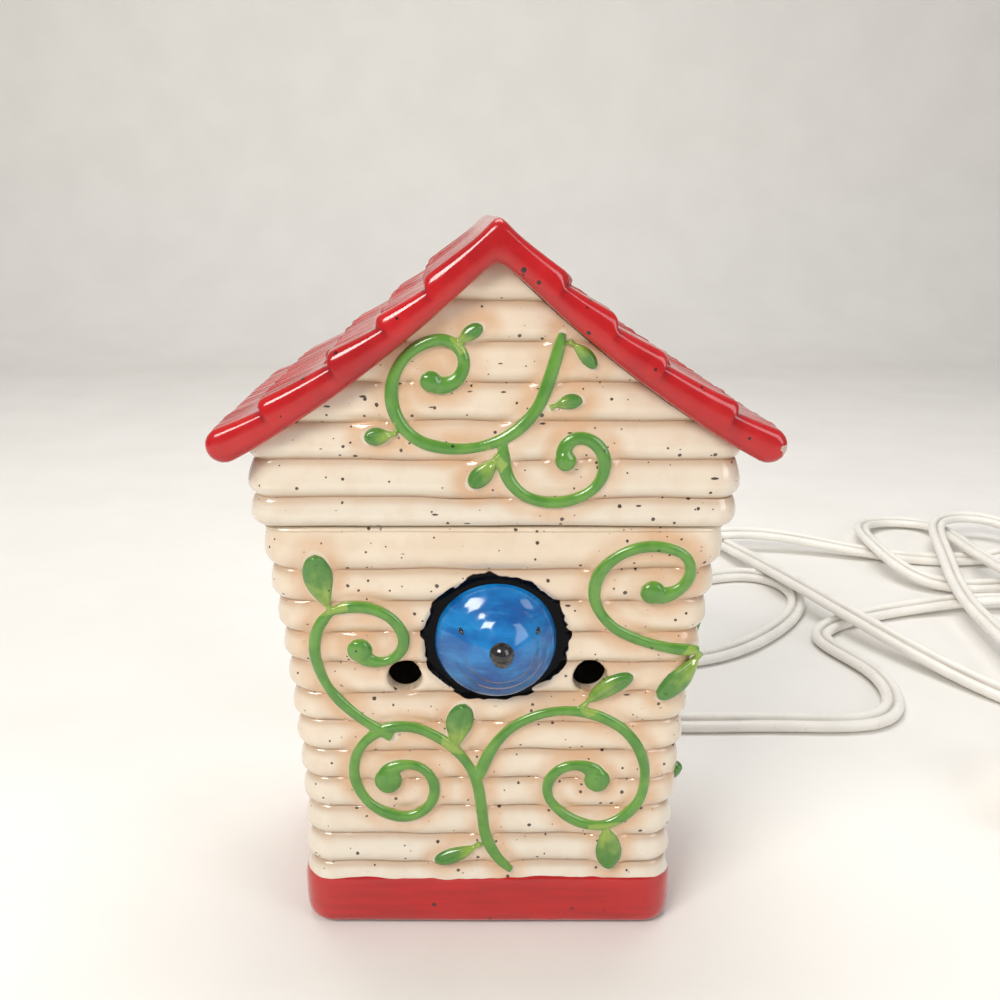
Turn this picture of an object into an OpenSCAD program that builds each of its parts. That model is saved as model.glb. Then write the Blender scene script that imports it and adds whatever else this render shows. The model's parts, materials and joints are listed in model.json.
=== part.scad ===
// Ceramic birdhouse lamp with a lift-off roof, a wax dish inside and a plug-in cord.
// Origin: centre of the footprint on the table. The front faces -Y and +Z is up.

/* [House] */
// Height of the roof ridge above the table
ridge_z = 160; // [156:0.5:166]
// Height of the rim where the lid rests on the body
rim_z = 99; // [98:0.5:100]
// Half width of the body at its waist
waist_half_w = 41.8; // [41.5:0.1:42.5]
// Half depth of the body at its waist
waist_half_d = 28.8; // [28.5:0.1:30]
// Half width of the lid walls
lid_half_w = 49.5; // [49:0.1:50]
// Half depth of the lid walls
lid_half_d = 34.5; // [34.2:0.1:35]
// Thickness of the cast body wall
body_wall = 4.5; // [4.2:0.1:4.8]
// Thickness of the cast lid wall
lid_wall = 4; // [3.6:0.1:4.2]

/* [Boards] */
// Height of one clapboard on the body
body_board = 7.3; // [7.3:0.1:7.4]
// Height of one clapboard on the lid
lid_board = 7.85; // [7.6:0.05:8]
// How deep the groove between two boards is
groove_depth = 0.9; // [0.5:0.1:1.2]
// How far a board bulges past the flat wall
board_bulge = 0.4; // [0:0.1:0.6]

/* [Roof] */
// Half width of the roof at the eave tips
eave_half_w = 56.5; // [56:0.5:58]
// Upright thickness of the roof
roof_t = 8.1; // [7.5:0.1:9]
// Y of the roof's front edge
roof_front = -39; // [-40:0.5:-38]
// Y of the roof's rear edge
roof_rear = 42; // [40:0.5:43]
// How far each course of shingles steps out at its lower edge
course_step = 1.7; // [1:0.1:2]

/* [Front] */
// Radius of the bird's head
bird_r = 12.9; // [12.4:0.1:13.2]
// Height of the bird's head
bird_z = 73.2; // [72:0.1:74]
// Radius of the two vent holes
vent_r = 3.75; // [3.5:0.05:4]
// Radius of a vine's stem
stem_r = 1.1; // [0.9:0.1:1.4]

/* [Cord] */
// Width of the flat two-core cord
cord_w = 7.4; // [7:0.1:7.6]
// Thickness of the flat two-core cord
cord_t = 3.7; // [3.5:0.1:3.8]

/* [Hidden] */

fine = 64;
ceramic = [0.87, 0.80, 0.71];
glaze_red = [0.66, 0.10, 0.12];
glaze_green = [0.29, 0.55, 0.20];
glaze_blue = [0.05, 0.42, 0.73];
steel = [0.72, 0.72, 0.74];
brass = [0.80, 0.65, 0.30];
cord_white = [0.90, 0.88, 0.82];

// ---- walls ----
foot_z = 0.8;                // underside of the ceramic foot
band_top = 12.8;             // top of the plain band round the foot
board_base = 16.5;           // lowest groove of the body
board_count = floor((rim_z - board_base) / body_board);
flare_w = 6.3;               // how much wider the rim is than the waist
flare_d = 4.7;
flare_power = 1.6;
flare_from = 24;
flare_span = 74;
band_half_w = 42.8;
band_half_d = 30.3;
corner_r = 7;
corner_steps = 4;            // facets in each rounded corner

function flare(z) = pow(max(0, z - flare_from) / flare_span, flare_power);
function body_hw(z) = z < band_top ? band_half_w : waist_half_w + flare_w * flare(z);
function body_hd(z) = z < band_top ? band_half_d : waist_half_d + flare_d * flare(z);

// One horizontal ring: a rectangle with rounded corners, anticlockwise from +X.
function ring(hw, hd, r, z) = [
    for (q = [0:3], i = [0:corner_steps])
        let (a = 90 * (q + i / corner_steps),
             sx = q == 0 || q == 3 ? 1 : -1,
             sy = q < 2 ? 1 : -1)
        [sx * (hw - r) + r * cos(a), sy * (hd - r) + r * sin(a), z]
];

// Rows of a wall of clapboards: [height, distance out from the flat wall].
board_rows = [[0, -1], [0.14, 0], [0.5, 1], [0.86, 0]];
function board_out(f) = f < 0 ? f * groove_depth : f * board_bulge;
function boards(from, pitch, count) = [
    for (k = [0:count - 1], row = board_rows) [from + (k + row[0]) * pitch, board_out(row[1])]
];

module loft(rings) {
    n = len(rings[0]);
    last = len(rings) - 1;
    polyhedron(
        points = [for (r = rings, p = r) p],
        faces = concat(
            [[for (i = [0:n - 1]) i]],
            [for (k = [0:last - 1], i = [0:n - 1])
                let (j = (i + 1) % n) [k * n + i, (k + 1) * n + i, (k + 1) * n + j, k * n + j]],
            [[for (i = [n - 1:-1:0]) last * n + i]]));
}

// ---- body ----
deck_z = 90.5;               // top of the shelf that carries the dish
deck_t = 4;
dish_hole_r = 25.3;
recess_half_w = 41.5;        // the straight recess above the shelf
recess_half_d = 28.1;
lip_top = rim_z + 2.6;       // top of the lip that centres the lid
lip_half_w = lid_half_w - lid_wall - 0.6;
lip_half_d = lid_half_d - lid_wall - 0.4;
post_x = 33;
post_y = 21;
post_r = 5;
post_top = 20;
plate_top = 2.4;
plate_bottom = 1;
rebate = 2.6;                // width of the step that the base plate sits in
cord_z = 7.5;
vent_x = [-18.8, 21.3];
vent_z = 64;

function body_rows() = concat(
    [[foot_z, -1.2], [foot_z + 0.5, -0.4], [foot_z + 1.6, 0], [band_top - 1.2, 0.2],
        [band_top - 0.2, -0.4]],
    [[band_top, 0], [band_top + 1.6, 0.5]],
    boards(board_base, body_board, board_count),
    [[board_base + board_count * body_board, -groove_depth * 0.6], [rim_z, 0]]);

module body_solid() loft(concat(
    [for (row = body_rows()) ring(body_hw(row[0]) + row[1], body_hd(row[0]) + row[1],
        corner_r, row[0])],
    [for (z = [rim_z, lip_top]) ring(lip_half_w, lip_half_d, corner_r - 3, z)]));

module body_hollow(from, to, rows) loft([
    for (i = [0:rows])
        let (z = from + (to - from) * i / rows, level = max(z, band_top + 0.1))
        ring(body_hw(level) - body_wall, body_hd(level) - body_wall, corner_r - body_wall + 2, z)
]);

module at_posts() for (x = [-post_x, post_x], y = [-post_y, post_y]) translate([x, y, 0]) children();

module house_body() color(ceramic) {
    difference() {
        body_solid();
        difference() {
            body_hollow(plate_top, deck_z - deck_t, 8);
            at_posts() translate([0, 0, -1]) cylinder(r = post_r, h = post_top + 1, $fn = fine);
        }
        translate([0, 0, deck_z]) linear_extrude(lip_top)
            rounded(2 * recess_half_w, 2 * recess_half_d, corner_r - 3);
        translate([0, 0, -1]) linear_extrude(plate_top + 1)
            rounded(2 * (band_half_w - rebate), 2 * (band_half_d - rebate), corner_r - rebate);
        translate([0, 0, deck_z - deck_t - 1]) cylinder(r = dish_hole_r, h = deck_t + 2, $fn = fine);
        for (x = vent_x) translate([x, -20, vent_z]) rotate([90, 0, 0])
            cylinder(r = vent_r, h = 20, $fn = fine);
        translate([0, band_half_d + 5, cord_z]) rotate([90, 0, 0])
            cylinder(r = relief_hole_r, h = 15, $fn = fine);
        at_posts() cylinder(r = screw_r + 0.05, h = screw_end, $fn = fine);
    }
}

// A rectangle with rounded corners, as a flat outline with true arcs.
module rounded(w, d, r) {
    square([w - 2 * r, d], center = true);
    square([w, d - 2 * r], center = true);
    for (x = [-1, 1], y = [-1, 1]) translate([x * (w / 2 - r), y * (d / 2 - r)])
        circle(r = r, $fn = fine);
}

// ---- vines ----
// A stem is a chain of arcs, each [length, turn in degrees], from a start point and a heading.
step_len = 2;
function arc_steps(arc) = max(1, round(arc[0] / step_len));
function chords(arcs) = [
    for (a = arcs, i = [1:arc_steps(a)]) [a[0] / arc_steps(a), a[1] / arc_steps(a)]
];
function stem(p, heading, list, i = 0) = i >= len(list) ? [p] : concat([p],
    let (h = heading + list[i][1] / 2)
    stem(p + list[i][0] * [cos(h), sin(h)], heading + list[i][1], list, i + 1));

stem_sides = 6;

// A tube along flat points [u, v], each ring [half width, half height], raised by lift(v).
module flat_sweep(path, sizes, lifts) {
    n = len(path);
    loft([for (i = [0:n - 1])
        let (t = path[min(i + 1, n - 1)] - path[max(i - 1, 0)], d = t / norm(t))
        [for (k = [0:stem_sides - 1]) let (a = 360 * (k + 0.5) / stem_sides)
            [path[i][0] - d[1] * sizes[i][0] * cos(a),
             -lifts[i] - sizes[i][1] * sin(a),
             path[i][1] + d[0] * sizes[i][0] * cos(a)]]]);
}

module vine(spec, surface) {
    path = stem([spec[0], spec[1]], spec[2], chords(spec[3]));
    n = len(path);
    flat_sweep(path, [for (p = path) [stem_r, stem_r]], [for (p = path) surface_out(surface, p[1])]);
    if (spec[4] > 0)
        translate([path[n - 1][0], -surface_out(surface, path[n - 1][1]), path[n - 1][1]])
            sphere(r = spec[4], $fn = 12);
}

leaf_rings = 7;
leaf_h = 1.5;
module leaf(spec, surface) {
    h = [cos(spec[2]), sin(spec[2])];
    path = [for (i = [0:leaf_rings]) [spec[0], spec[1]] + h * spec[3] * i / leaf_rings];
    sizes = [for (i = [0:leaf_rings]) let (f = pow(sin(8 + 166 * i / leaf_rings), 0.8))
        [max(0.3, f * spec[4] / 2), max(0.3, f * leaf_h)]];
    flat_sweep(path, sizes, [for (p = path) surface_out(surface, p[1])]);
}

// Distance of a wall from the middle plane at a height: the front, the side or the gable.
function surface_out(surface, z) = surface == "gable" ? lid_half_d
    : surface == "side" ? body_hw(z) : body_hd(z);

// [x, z, heading, arcs, radius of the knob]
body_stems = [
    [5, 15, 140, [[14, -44], [8, 2], [10, 28], [12, 32], [16, 85], [22, 105], [18, 148], [8, 85],
        [3, 60]], 3.2],
    [-3, 38, 75, [[9, -12], [15, -48], [16, -48], [20, -68], [11, -55], [6, -40], [10, -40],
        [17, -160], [3, -50]], 3],
    [-34, 80, 27, [[12, -60], [6, -40], [5, -58], [7, -75], [3, -50]], 2.8],
    [-34, 80, -140, [[7, 38], [6, 24], [13, 34], [12, 14]], 0],
    [44, 71, 180, [[17, -28], [8, -34], [11, -70], [16, -74], [8, -95], [5, -45], [3, -50]], 2.7]
];
gable_stems = [
    [12.5, 138.5, -101, [[12, -8], [14, -50], [13, -36], [8, -45], [8.5, -45], [12, -65], [6, -75],
        [8, -105], [3, -50]], 2.2],
    [1.5, 117, -90, [[4, 5], [10, 65], [12, 55], [8, 70], [6, 65], [5, 90], [2, 40]], 2.2]
];
side_stems = [
    [-14, 20, 100, [[22, -20], [24, 30], [26, -130], [20, -150], [8, -120]], 2.8],
    [-10, 42, 60, [[14, -70], [18, -150], [8, -120]], 2.4]
];
// [x, z, heading, length, width]
body_leaves = [[-34, 80, 102, 13.5, 6.4], [-7.5, 46, 81, 12, 6.2], [-2, 22, 203, 11.5, 4.2],
    [26, 27.5, 276, 12, 6.2], [19.5, 57, 36, 13.5, 4.6], [44.5, 70.5, 233, 14, 5.4]];
gable_leaves = [[-8, 136, 36, 6.5, 3.2], [-19.5, 119, 187, 6.5, 3.8],
    [0.5, 114.5, 228, 8.5, 4.4], [13.8, 137, -45, 7.5, 3], [10.5, 124, 13, 6.5, 3.2]];
side_leaves = [[-13, 64, 130, 13, 5.5], [-16, 34, 150, 11, 4.5], [8, 78, 20, 12, 5]];

module front_vines() color(glaze_green) {
    for (s = body_stems) vine(s, "front");
    for (l = body_leaves) leaf(l, "front");
}

module side_vines() color(glaze_green) for (turn = [-90, 90]) rotate([0, 0, turn]) {
    for (s = side_stems) vine(s, "side");
    for (l = side_leaves) leaf(l, "side");
}

module gable_vines() color(glaze_green) {
    for (s = gable_stems) vine(s, "gable");
    for (l = gable_leaves) leaf(l, "gable");
}

// ---- bird ----
bird_x = 0.8;
bird_y = -28.5;              // centre of the head's ball, inside the wall
bird_back = -30.4;           // the head is cut flat here and stands on the wall
beak_tip = -42;
beak_len = 6.5;
module bird_head() color(glaze_blue) {
    intersection() {
        translate([bird_x, bird_y, bird_z]) sphere(r = bird_r, $fn = fine);
        translate([-30, bird_back - 20, bird_z - 30]) cube([60, 20, 60]);
    }
    translate([bird_x + 0.8, beak_tip, bird_z + 0.3]) rotate([-90, 0, 0])
        cylinder(r1 = 0.6, r2 = 3.4, h = beak_len, $fn = fine);
}

// ---- lid ----
lid_first = rim_z + 6.4;     // lowest groove of the lid
roof_slope = 0.957;
roof_sweep = 0.00396;        // the slope eases towards the eaves
function roof_top(x) = ridge_z - roof_slope * abs(x) + roof_sweep * x * x;
function roof_under(x) = roof_top(x) - roof_t;
roof_samples = 8;
under_half_w = eave_half_w - 4;
under_x = [for (i = [roof_samples:-1:-roof_samples]) under_half_w * i / roof_samples];

// The shape of a gable wall under the roof, as an outline in X and Z.
module gable_outline() polygon(concat([[under_half_w, rim_z - 5]],
    [for (x = under_x) [x, roof_under(x)]], [[-under_half_w, rim_z - 5]]));

// Stands an outline drawn in X and Z between two Y positions.
module along_y(from, to) translate([0, to, 0]) rotate([90, 0, 0]) linear_extrude(to - from) children();

lid_rows = concat([[rim_z, -1.7], [rim_z + 1, -0.8], [rim_z + 3.4, 0.1]],
    boards(lid_first, lid_board, 7));

module lid_walls() color(ceramic) difference() {
    intersection() {
        loft([for (row = lid_rows) ring(lid_half_w + row[1], lid_half_d + row[1],
            corner_r - 2, row[0])]);
        along_y(-60, 60) gable_outline();
    }
    along_y(lid_wall - lid_half_d, lid_half_d - lid_wall) intersection() {
        translate([0, -lid_wall]) gable_outline();
        square([2 * (lid_half_w - lid_wall), 400], center = true);
    }
}

// Lower edges of the shingle courses, from the ridge down to the eave.
course_edges = [0, 12, 21, 31.5, 44, eave_half_w - 2];
function course_points() = [
    for (k = [1:len(course_edges) - 1])
        let (upper = course_edges[k - 1], lower = course_edges[k])
        for (p = [[upper, roof_top(upper) + (k == 1 ? 0 : -course_step / 2)],
                  [lower, roof_top(lower) + course_step / 2]]) p
];
tip = [eave_half_w, roof_top(eave_half_w) - 1];
function half_roof() = concat(
    [for (p = course_points()) if (p[0] > 0) p],
    [tip, [tip[0] - 0.6, tip[1] - 3], [tip[0] - 2, roof_under(under_half_w) + 0.6]],
    [for (x = under_x) if (x > 0) [x, roof_under(x)]]);
function mirrored(list) = [for (i = [len(list) - 1:-1:0]) [-list[i][0], list[i][1]]];

module roof() color(glaze_red) along_y(roof_front, roof_rear)
    polygon(concat([[0, ridge_z]], half_roof(), [[0, roof_under(0)]], mirrored(half_roof())));

// ---- dish ----
dish_rim_r = 27.4;
module wax_dish() color([0.93, 0.90, 0.84]) translate([0, 0, deck_z]) rotate_extrude($fn = fine)
    polygon([[0, -14.5], [14, -14.5], [18, -12], [22, -6], [24.8, 0], [dish_rim_r, 0],
        [dish_rim_r, 2], [26.8, 3.2], [25.2, 3.2], [24.4, 2.2], [21.4, -3.5], [17, -9.5],
        [13, -12], [0, -12]]);

// ---- lamp ----
bracket_top = 8.2;
socket_top = 36;
socket_floor = 13.5;
socket_r = 9.5;
socket_bore = 7.4;
shell_r = 7.4;
shell_wall = 0.7;
cap_r = 6.2;
cap_bottom = 17.5;
cap_top = 35;

module tube(outer, inner, from, to) translate([0, 0, from]) difference() {
    cylinder(r = outer, h = to - from, $fn = fine);
    translate([0, 0, -1]) cylinder(r = inner, h = to - from + 2, $fn = fine);
}

module lamp_socket() color([0.92, 0.92, 0.90]) difference() {
    union() {
        translate([0, 0, bracket_top]) cylinder(r = socket_r, h = socket_top - bracket_top, $fn = fine);
        translate([0, 0, bracket_top]) cylinder(r = socket_r + 1.5, h = 6, $fn = fine);
    }
    translate([0, 0, socket_floor]) cylinder(r = socket_bore, h = 40, $fn = fine);
    translate([0, 0, bracket_top - 1]) cylinder(r = 1.75, h = 4, $fn = fine);
}

module socket_shell() color(brass) tube(shell_r, shell_r - shell_wall, socket_floor + 1.5, socket_top - 0.5);

module socket_contact() color(brass) translate([0, 0, socket_floor]) cylinder(r = 2.2, h = 2, $fn = fine);

module bulb_cap() color(brass) {
    tube(cap_r, cap_r - 0.6, cap_bottom, cap_top);
    translate([0, 0, cap_bottom - 1]) cylinder(r = cap_r - 0.6, h = 1.6, $fn = fine);
    translate([0, 0, cap_bottom - 1.9]) cylinder(r = 2, h = 1.2, $fn = fine);
}

glass_neck = cap_r - 0.6;
glass_r = 11;
glass_top = 72;
glass_t = 0.8;
function glass_profile(inset) = concat(
    [[0, cap_bottom + 3 + inset], [glass_neck - inset, cap_bottom + 3 + inset], [glass_neck - inset, 37]],
    [for (a = [-50:14:90]) [(glass_r - inset) * cos(a), 56 + (a < 0 ? 17 : 16 - inset) * sin(a)]]);
module bulb_glass() color([0.95, 0.95, 0.90, 0.4]) difference() {
    rotate_extrude($fn = fine) polygon(glass_profile(0));
    rotate_extrude($fn = fine) polygon(glass_profile(glass_t));
}

module bulb_filament() color(steel) {
    translate([0, 0, 21.3]) cylinder(r = 2.4, h = 20, $fn = fine);
    for (x = [-1.6, 1.6]) translate([x, 0, 41]) cylinder(r = 0.3, h = 13, $fn = 16);
    translate([-2.4, 0, 54]) rotate([0, 90, 0]) cylinder(r = 0.6, h = 4.8, $fn = 16);
}

module socket_screw() color(steel) {
    translate([0, 0, 5]) cylinder(r = 3, h = 2, $fn = fine);
    translate([0, 0, 6.5]) cylinder(r = 1.7, h = 4.4, $fn = fine);
}

bracket_w = 16;
bracket_t = 1.2;
rivet_x = 17;
rivet_r = 1.6;
module socket_bracket() color(steel) difference() {
    along_y(-bracket_w / 2, bracket_w / 2) polygon([[-22, plate_top], [-12, plate_top],
        [-12, bracket_top - bracket_t], [12, bracket_top - bracket_t], [12, plate_top],
        [22, plate_top], [22, plate_top + bracket_t], [13.2, plate_top + bracket_t],
        [13.2, bracket_top], [-13.2, bracket_top], [-13.2, plate_top + bracket_t],
        [-22, plate_top + bracket_t]]);
    translate([0, 0, 5]) cylinder(r = 1.75, h = 5, $fn = fine);
    for (x = [-rivet_x, rivet_x]) translate([x, 0, 0]) cylinder(r = rivet_r + 0.05, h = 6, $fn = fine);
}

module bracket_rivets() color(steel) for (x = [-rivet_x, rivet_x]) translate([x, 0, 0]) {
    translate([0, 0, plate_bottom]) cylinder(r = rivet_r, h = 3, $fn = fine);
    translate([0, 0, plate_top + bracket_t]) cylinder(r = 2.8, h = 1, $fn = fine);
}

// ---- base ----
screw_r = 1.4;
screw_head_r = 2.7;
screw_end = 14;
module base_plate() color(steel) difference() {
    translate([0, 0, plate_bottom]) linear_extrude(plate_top - plate_bottom)
        rounded(2 * (band_half_w - rebate) - 0.8, 2 * (band_half_d - rebate) - 0.8, corner_r - rebate - 0.4);
    at_posts() translate([0, 0, plate_bottom - 0.01])
        cylinder(r1 = screw_head_r + 0.05, r2 = screw_r + 0.05, h = 1.42, $fn = fine);
    for (x = [-rivet_x, rivet_x]) translate([x, 0, 0]) cylinder(r = rivet_r + 0.05, h = 6, $fn = fine);
}

module base_screws() color(steel) at_posts() {
    translate([0, 0, plate_bottom]) cylinder(r1 = screw_head_r, r2 = screw_r, h = 1.4, $fn = fine);
    translate([0, 0, plate_top - 0.2]) cylinder(r = screw_r, h = 11, $fn = fine);
}

module rubber_feet() color([0.15, 0.15, 0.15]) for (x = [-26, 26], y = [-18, 18])
    translate([x, y, 0]) cylinder(r = 4.5, h = plate_bottom, $fn = fine);

// ---- cord ----
relief_hole_r = 4.6;
relief_tip = 54;
relief_inner = 24;
module strain_relief() color(cord_white) translate([0, 0, cord_z]) rotate([-90, 0, 0]) {
    translate([0, 0, relief_inner]) cylinder(r = relief_hole_r - 0.1, h = 8, $fn = fine);
    translate([0, 0, band_half_d + 0.4]) cylinder(r = 6, h = 2, $fn = fine);
    translate([0, 0, band_half_d + 2]) cylinder(r1 = 5.2, r2 = 4.2, h = relief_tip - band_half_d - 2, $fn = fine);
}

// The route's points, chosen by hand. The cord is the smooth cubic curve that they steer.
flat = 2.4;                  // height of the cord's middle where it lies on the table
switch_z = 5.5;              // height at which it enters the switch
route = [
    [0, relief_tip, cord_z], [0, 72, 6], [6, 102, flat], [40, 156, flat], [84, 186, flat],
    [132, 210, flat], [146, 172, flat], [115, 130, flat], [78, 104, flat], [30, 116, flat],
    [32, 58, flat], [94, 66, flat], [138, 58, flat], [148, 104, flat], [124, 134, flat],
    [170, 158, flat], [210, 164, switch_z], [250, 164, switch_z], [290, 164, switch_z],
    [330, 164, switch_z], [337, 206, flat], [290, 207, flat], [242, 186, flat],
    [196, 178, 4], [190, 222, 11], [203, 280, 4], [251, 282, flat], [232, 214, 10], [234, 160, 12],
    [246, 106, flat], [230, 58, flat], [188, 64, flat], [166, 104, 4], [140, 152, 12],
    [128, 236, 4], [108, 290, flat], [64, 280, flat], [80, 228, 7], [140, 250, 11],
    [192, 226, flat], [236, 216, flat], [276, 226, 8], [270, 266, 11], [234, 260, 12],
    [218, 208, 13], [198, 150, 8], [196, 92, 11], [171, 42, 6.5]
];
switch_from = 17;            // the switch sits between these two points of the route
switch_to = 18;
rings_per_point = 2;
padded_route = concat([2 * route[0] - route[1]], route,
    [2 * route[len(route) - 1] - route[len(route) - 2]]);

function curve_point(s) = let (i = min(floor(s), len(route) - 2), t = s - i)
    (pow(1 - t, 3) * padded_route[i] + (3 * pow(t, 3) - 6 * t * t + 4) * padded_route[i + 1]
    + (-3 * pow(t, 3) + 3 * t * t + 3 * t + 1) * padded_route[i + 2]
    + pow(t, 3) * padded_route[i + 3]) / 6;

// The section is a flat eight-sided oval, level across the cord.
cord_sides = 8;
function cord_ring(s, from, to) = let (
    d = curve_point(min(s + 0.05, to)) - curve_point(max(s - 0.05, from)),
    across = [-d[1], d[0], 0] / norm([d[0], d[1], 0]),
    up = cross(d / norm(d), across))
    [for (k = [0:cord_sides - 1]) let (a = 360 * (k + 0.5) / cord_sides)
        curve_point(s) + across * cos(a) * cord_w / 2 * 1.05 + up * sin(a) * cord_t / 2 * 1.05];

module cord(from, to) color(cord_white) loft([
    for (i = [0:(to - from) * rings_per_point])
        cord_ring(from + i / rings_per_point, from, to)]);
module cord_lamp_side() cord(0, switch_from);
module cord_plug_side() cord(switch_to, len(route) - 1);

// Two insulated leads from the cord's inner end to the socket.
module lead_wires() color([0.15, 0.15, 0.15]) for (x = [-1.9, 1.9])
    translate([x, socket_r + 1, cord_z + 3]) rotate([-90 - atan2(-3, relief_inner - socket_r - 1), 0, 0])
        cylinder(r = 1.1, h = norm([relief_inner - socket_r - 1, 3]), $fn = 24);

// ---- switch on the cord ----
switch_x = 270;
switch_y = 164;
switch_l = 40;
switch_w = 19;
switch_split = switch_z;
switch_h = 14.4;
wheel_r = 7;
wheel_t = 5;
wheel_z = 9.2;
axle_r = 1.4;
switch_screw_x = 15.5;
module at_switch() translate([switch_x, switch_y, 0]) children();

module switch_shell(from, to) difference() {
    translate([0, 0, from]) linear_extrude(to - from) rounded(switch_l, switch_w, 6);
    translate([-11, -4.5, 1.6]) cube([22, 9, switch_h - 3.2]);
    for (x = [-switch_screw_x, switch_screw_x]) translate([x, 0, 0])
        cylinder(r = 1.25, h = 11, $fn = fine);
}

module switch_bottom() color(cord_white) at_switch() difference() {
    switch_shell(0, switch_split);
    for (x = [-switch_screw_x, switch_screw_x]) translate([x, 0, -1]) cylinder(r = 2.3, h = 2.6, $fn = fine);
}

module switch_top() color(cord_white) at_switch() difference() {
    switch_shell(switch_split, switch_h);
    translate([-wheel_r, -wheel_t / 2 - 0.5, switch_h - 2]) cube([2 * wheel_r, wheel_t + 1, 3]);
    translate([0, 7, wheel_z]) rotate([90, 0, 0]) cylinder(r = axle_r, h = 14, $fn = fine);
}

module switch_axle() color(steel) at_switch() translate([0, 7, wheel_z]) rotate([90, 0, 0])
    cylinder(r = axle_r, h = 14, $fn = fine);

knurl_count = 16;
module switch_wheel() color([0.92, 0.90, 0.85]) at_switch() translate([0, wheel_t / 2, wheel_z])
    rotate([90, 0, 0]) difference() {
        cylinder(r = wheel_r, h = wheel_t, $fn = fine);
        translate([0, 0, -1]) cylinder(r = axle_r + 0.05, h = wheel_t + 2, $fn = fine);
        for (k = [0:knurl_count - 1]) rotate([0, 0, 360 * k / knurl_count])
            translate([wheel_r + 0.3, 0, -1]) cylinder(r = 0.7, h = wheel_t + 2, $fn = 16);
    }

module switch_contacts() color(brass) at_switch() for (x = [-10.5, 4.5])
    translate([x, -3.5, 1.6]) cube([6, 7, 0.5]);

module switch_screws() color(steel) at_switch() for (x = [-switch_screw_x, switch_screw_x])
    translate([x, 0, 0.2]) {
        cylinder(r = 2.2, h = 1.4, $fn = fine);
        translate([0, 0, 1]) cylinder(r = 1.2, h = 9.5, $fn = fine);
    }

// ---- plug ----
cord_end = route[len(route) - 1];
cord_last = cord_end - route[len(route) - 2];
plug_turn = atan2(cord_last[1], cord_last[0]);
plug_l = 30;
plug_h = 13;
blade_gap = 12.7;
blade_l = 17;
blade_w = 6.3;
blade_t = 1.5;
module at_plug() translate([cord_end[0], cord_end[1], cord_end[2]]) rotate([0, 0, plug_turn]) children();

module plug_body() color(cord_white) at_plug() difference() {
    intersection() {
        translate([0, 0, -plug_h / 2]) linear_extrude(plug_h)
            polygon([[0, -5], [6, -7.5], [13, -11.5], [plug_l - 1, -11.5], [plug_l, -10.5],
                [plug_l, 10.5], [plug_l - 1, 11.5], [13, 11.5], [6, 7.5], [0, 5]]);
        rotate([90, 0, 0]) translate([0, 0, -12]) linear_extrude(24)
            polygon([[0, -3.5], [10, -plug_h / 2], [plug_l, -plug_h / 2], [plug_l, plug_h / 2],
                [10, plug_h / 2], [0, 3.5]]);
    }
    for (y = [-1, 1]) translate([plug_l - 8, y * blade_gap / 2 - blade_t / 2, -blade_w / 2])
        cube([9, blade_t, blade_w]);
}

module plug_blades() color(brass) at_plug() for (y = [-1, 1])
    translate([plug_l - 8, y * blade_gap / 2 - blade_t / 2, -blade_w / 2]) difference() {
        cube([8 + blade_l, blade_t, blade_w]);
        translate([8 + blade_l - 4, -1, blade_w / 2]) rotate([-90, 0, 0]) cylinder(r = 1.5, h = 4, $fn = fine);
    }

house_body();
front_vines();
side_vines();
bird_head();
lid_walls();
roof();
gable_vines();
wax_dish();
bulb_glass();
bulb_cap();
bulb_filament();
lamp_socket();
socket_shell();
socket_contact();
socket_screw();
socket_bracket();
bracket_rivets();
base_plate();
base_screws();
rubber_feet();
lead_wires();
strain_relief();
cord_lamp_side();
cord_plug_side();
switch_bottom();
switch_top();
switch_wheel();
switch_axle();
switch_contacts();
switch_screws();
plug_body();
plug_blades();
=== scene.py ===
"""The looks of the ceramic birdhouse lamp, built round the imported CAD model.

Shapes are worked out in millimetres in the CAD's own frame (front towards -Y, table at Z 0) and
turned into metres as each mesh is made.
"""

import json
import math
import random

import bmesh
import bpy
import numpy as np
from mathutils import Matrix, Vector


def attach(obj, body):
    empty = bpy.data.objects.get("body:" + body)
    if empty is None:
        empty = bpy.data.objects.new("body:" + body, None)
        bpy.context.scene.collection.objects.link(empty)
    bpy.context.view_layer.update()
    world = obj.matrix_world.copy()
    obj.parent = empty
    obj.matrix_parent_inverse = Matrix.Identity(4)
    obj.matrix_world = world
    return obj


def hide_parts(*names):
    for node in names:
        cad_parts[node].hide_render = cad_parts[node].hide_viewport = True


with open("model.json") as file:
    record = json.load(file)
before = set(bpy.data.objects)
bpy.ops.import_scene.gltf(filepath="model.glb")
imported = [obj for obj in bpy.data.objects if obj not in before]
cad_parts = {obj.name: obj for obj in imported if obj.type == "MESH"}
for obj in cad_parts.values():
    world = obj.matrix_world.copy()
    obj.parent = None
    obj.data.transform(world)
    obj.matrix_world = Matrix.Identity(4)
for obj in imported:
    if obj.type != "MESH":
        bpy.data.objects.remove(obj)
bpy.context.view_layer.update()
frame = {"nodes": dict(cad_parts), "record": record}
NODES = frame["nodes"]
MM = 0.001


# ---------------------------------------------------------------- camera
def add_camera():
    data = bpy.data.cameras.new("camera")
    data.sensor_width = 36
    data.lens = 36
    data.shift_x = 0.05
    data.clip_start = 0.01
    camera = bpy.data.objects.new("camera", data)
    camera.location = (-0.009, -0.2275, 0.1605)
    camera.rotation_euler = (math.radians(74), 0, 0)
    bpy.context.scene.collection.objects.link(camera)
    bpy.context.scene.camera = camera


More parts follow.
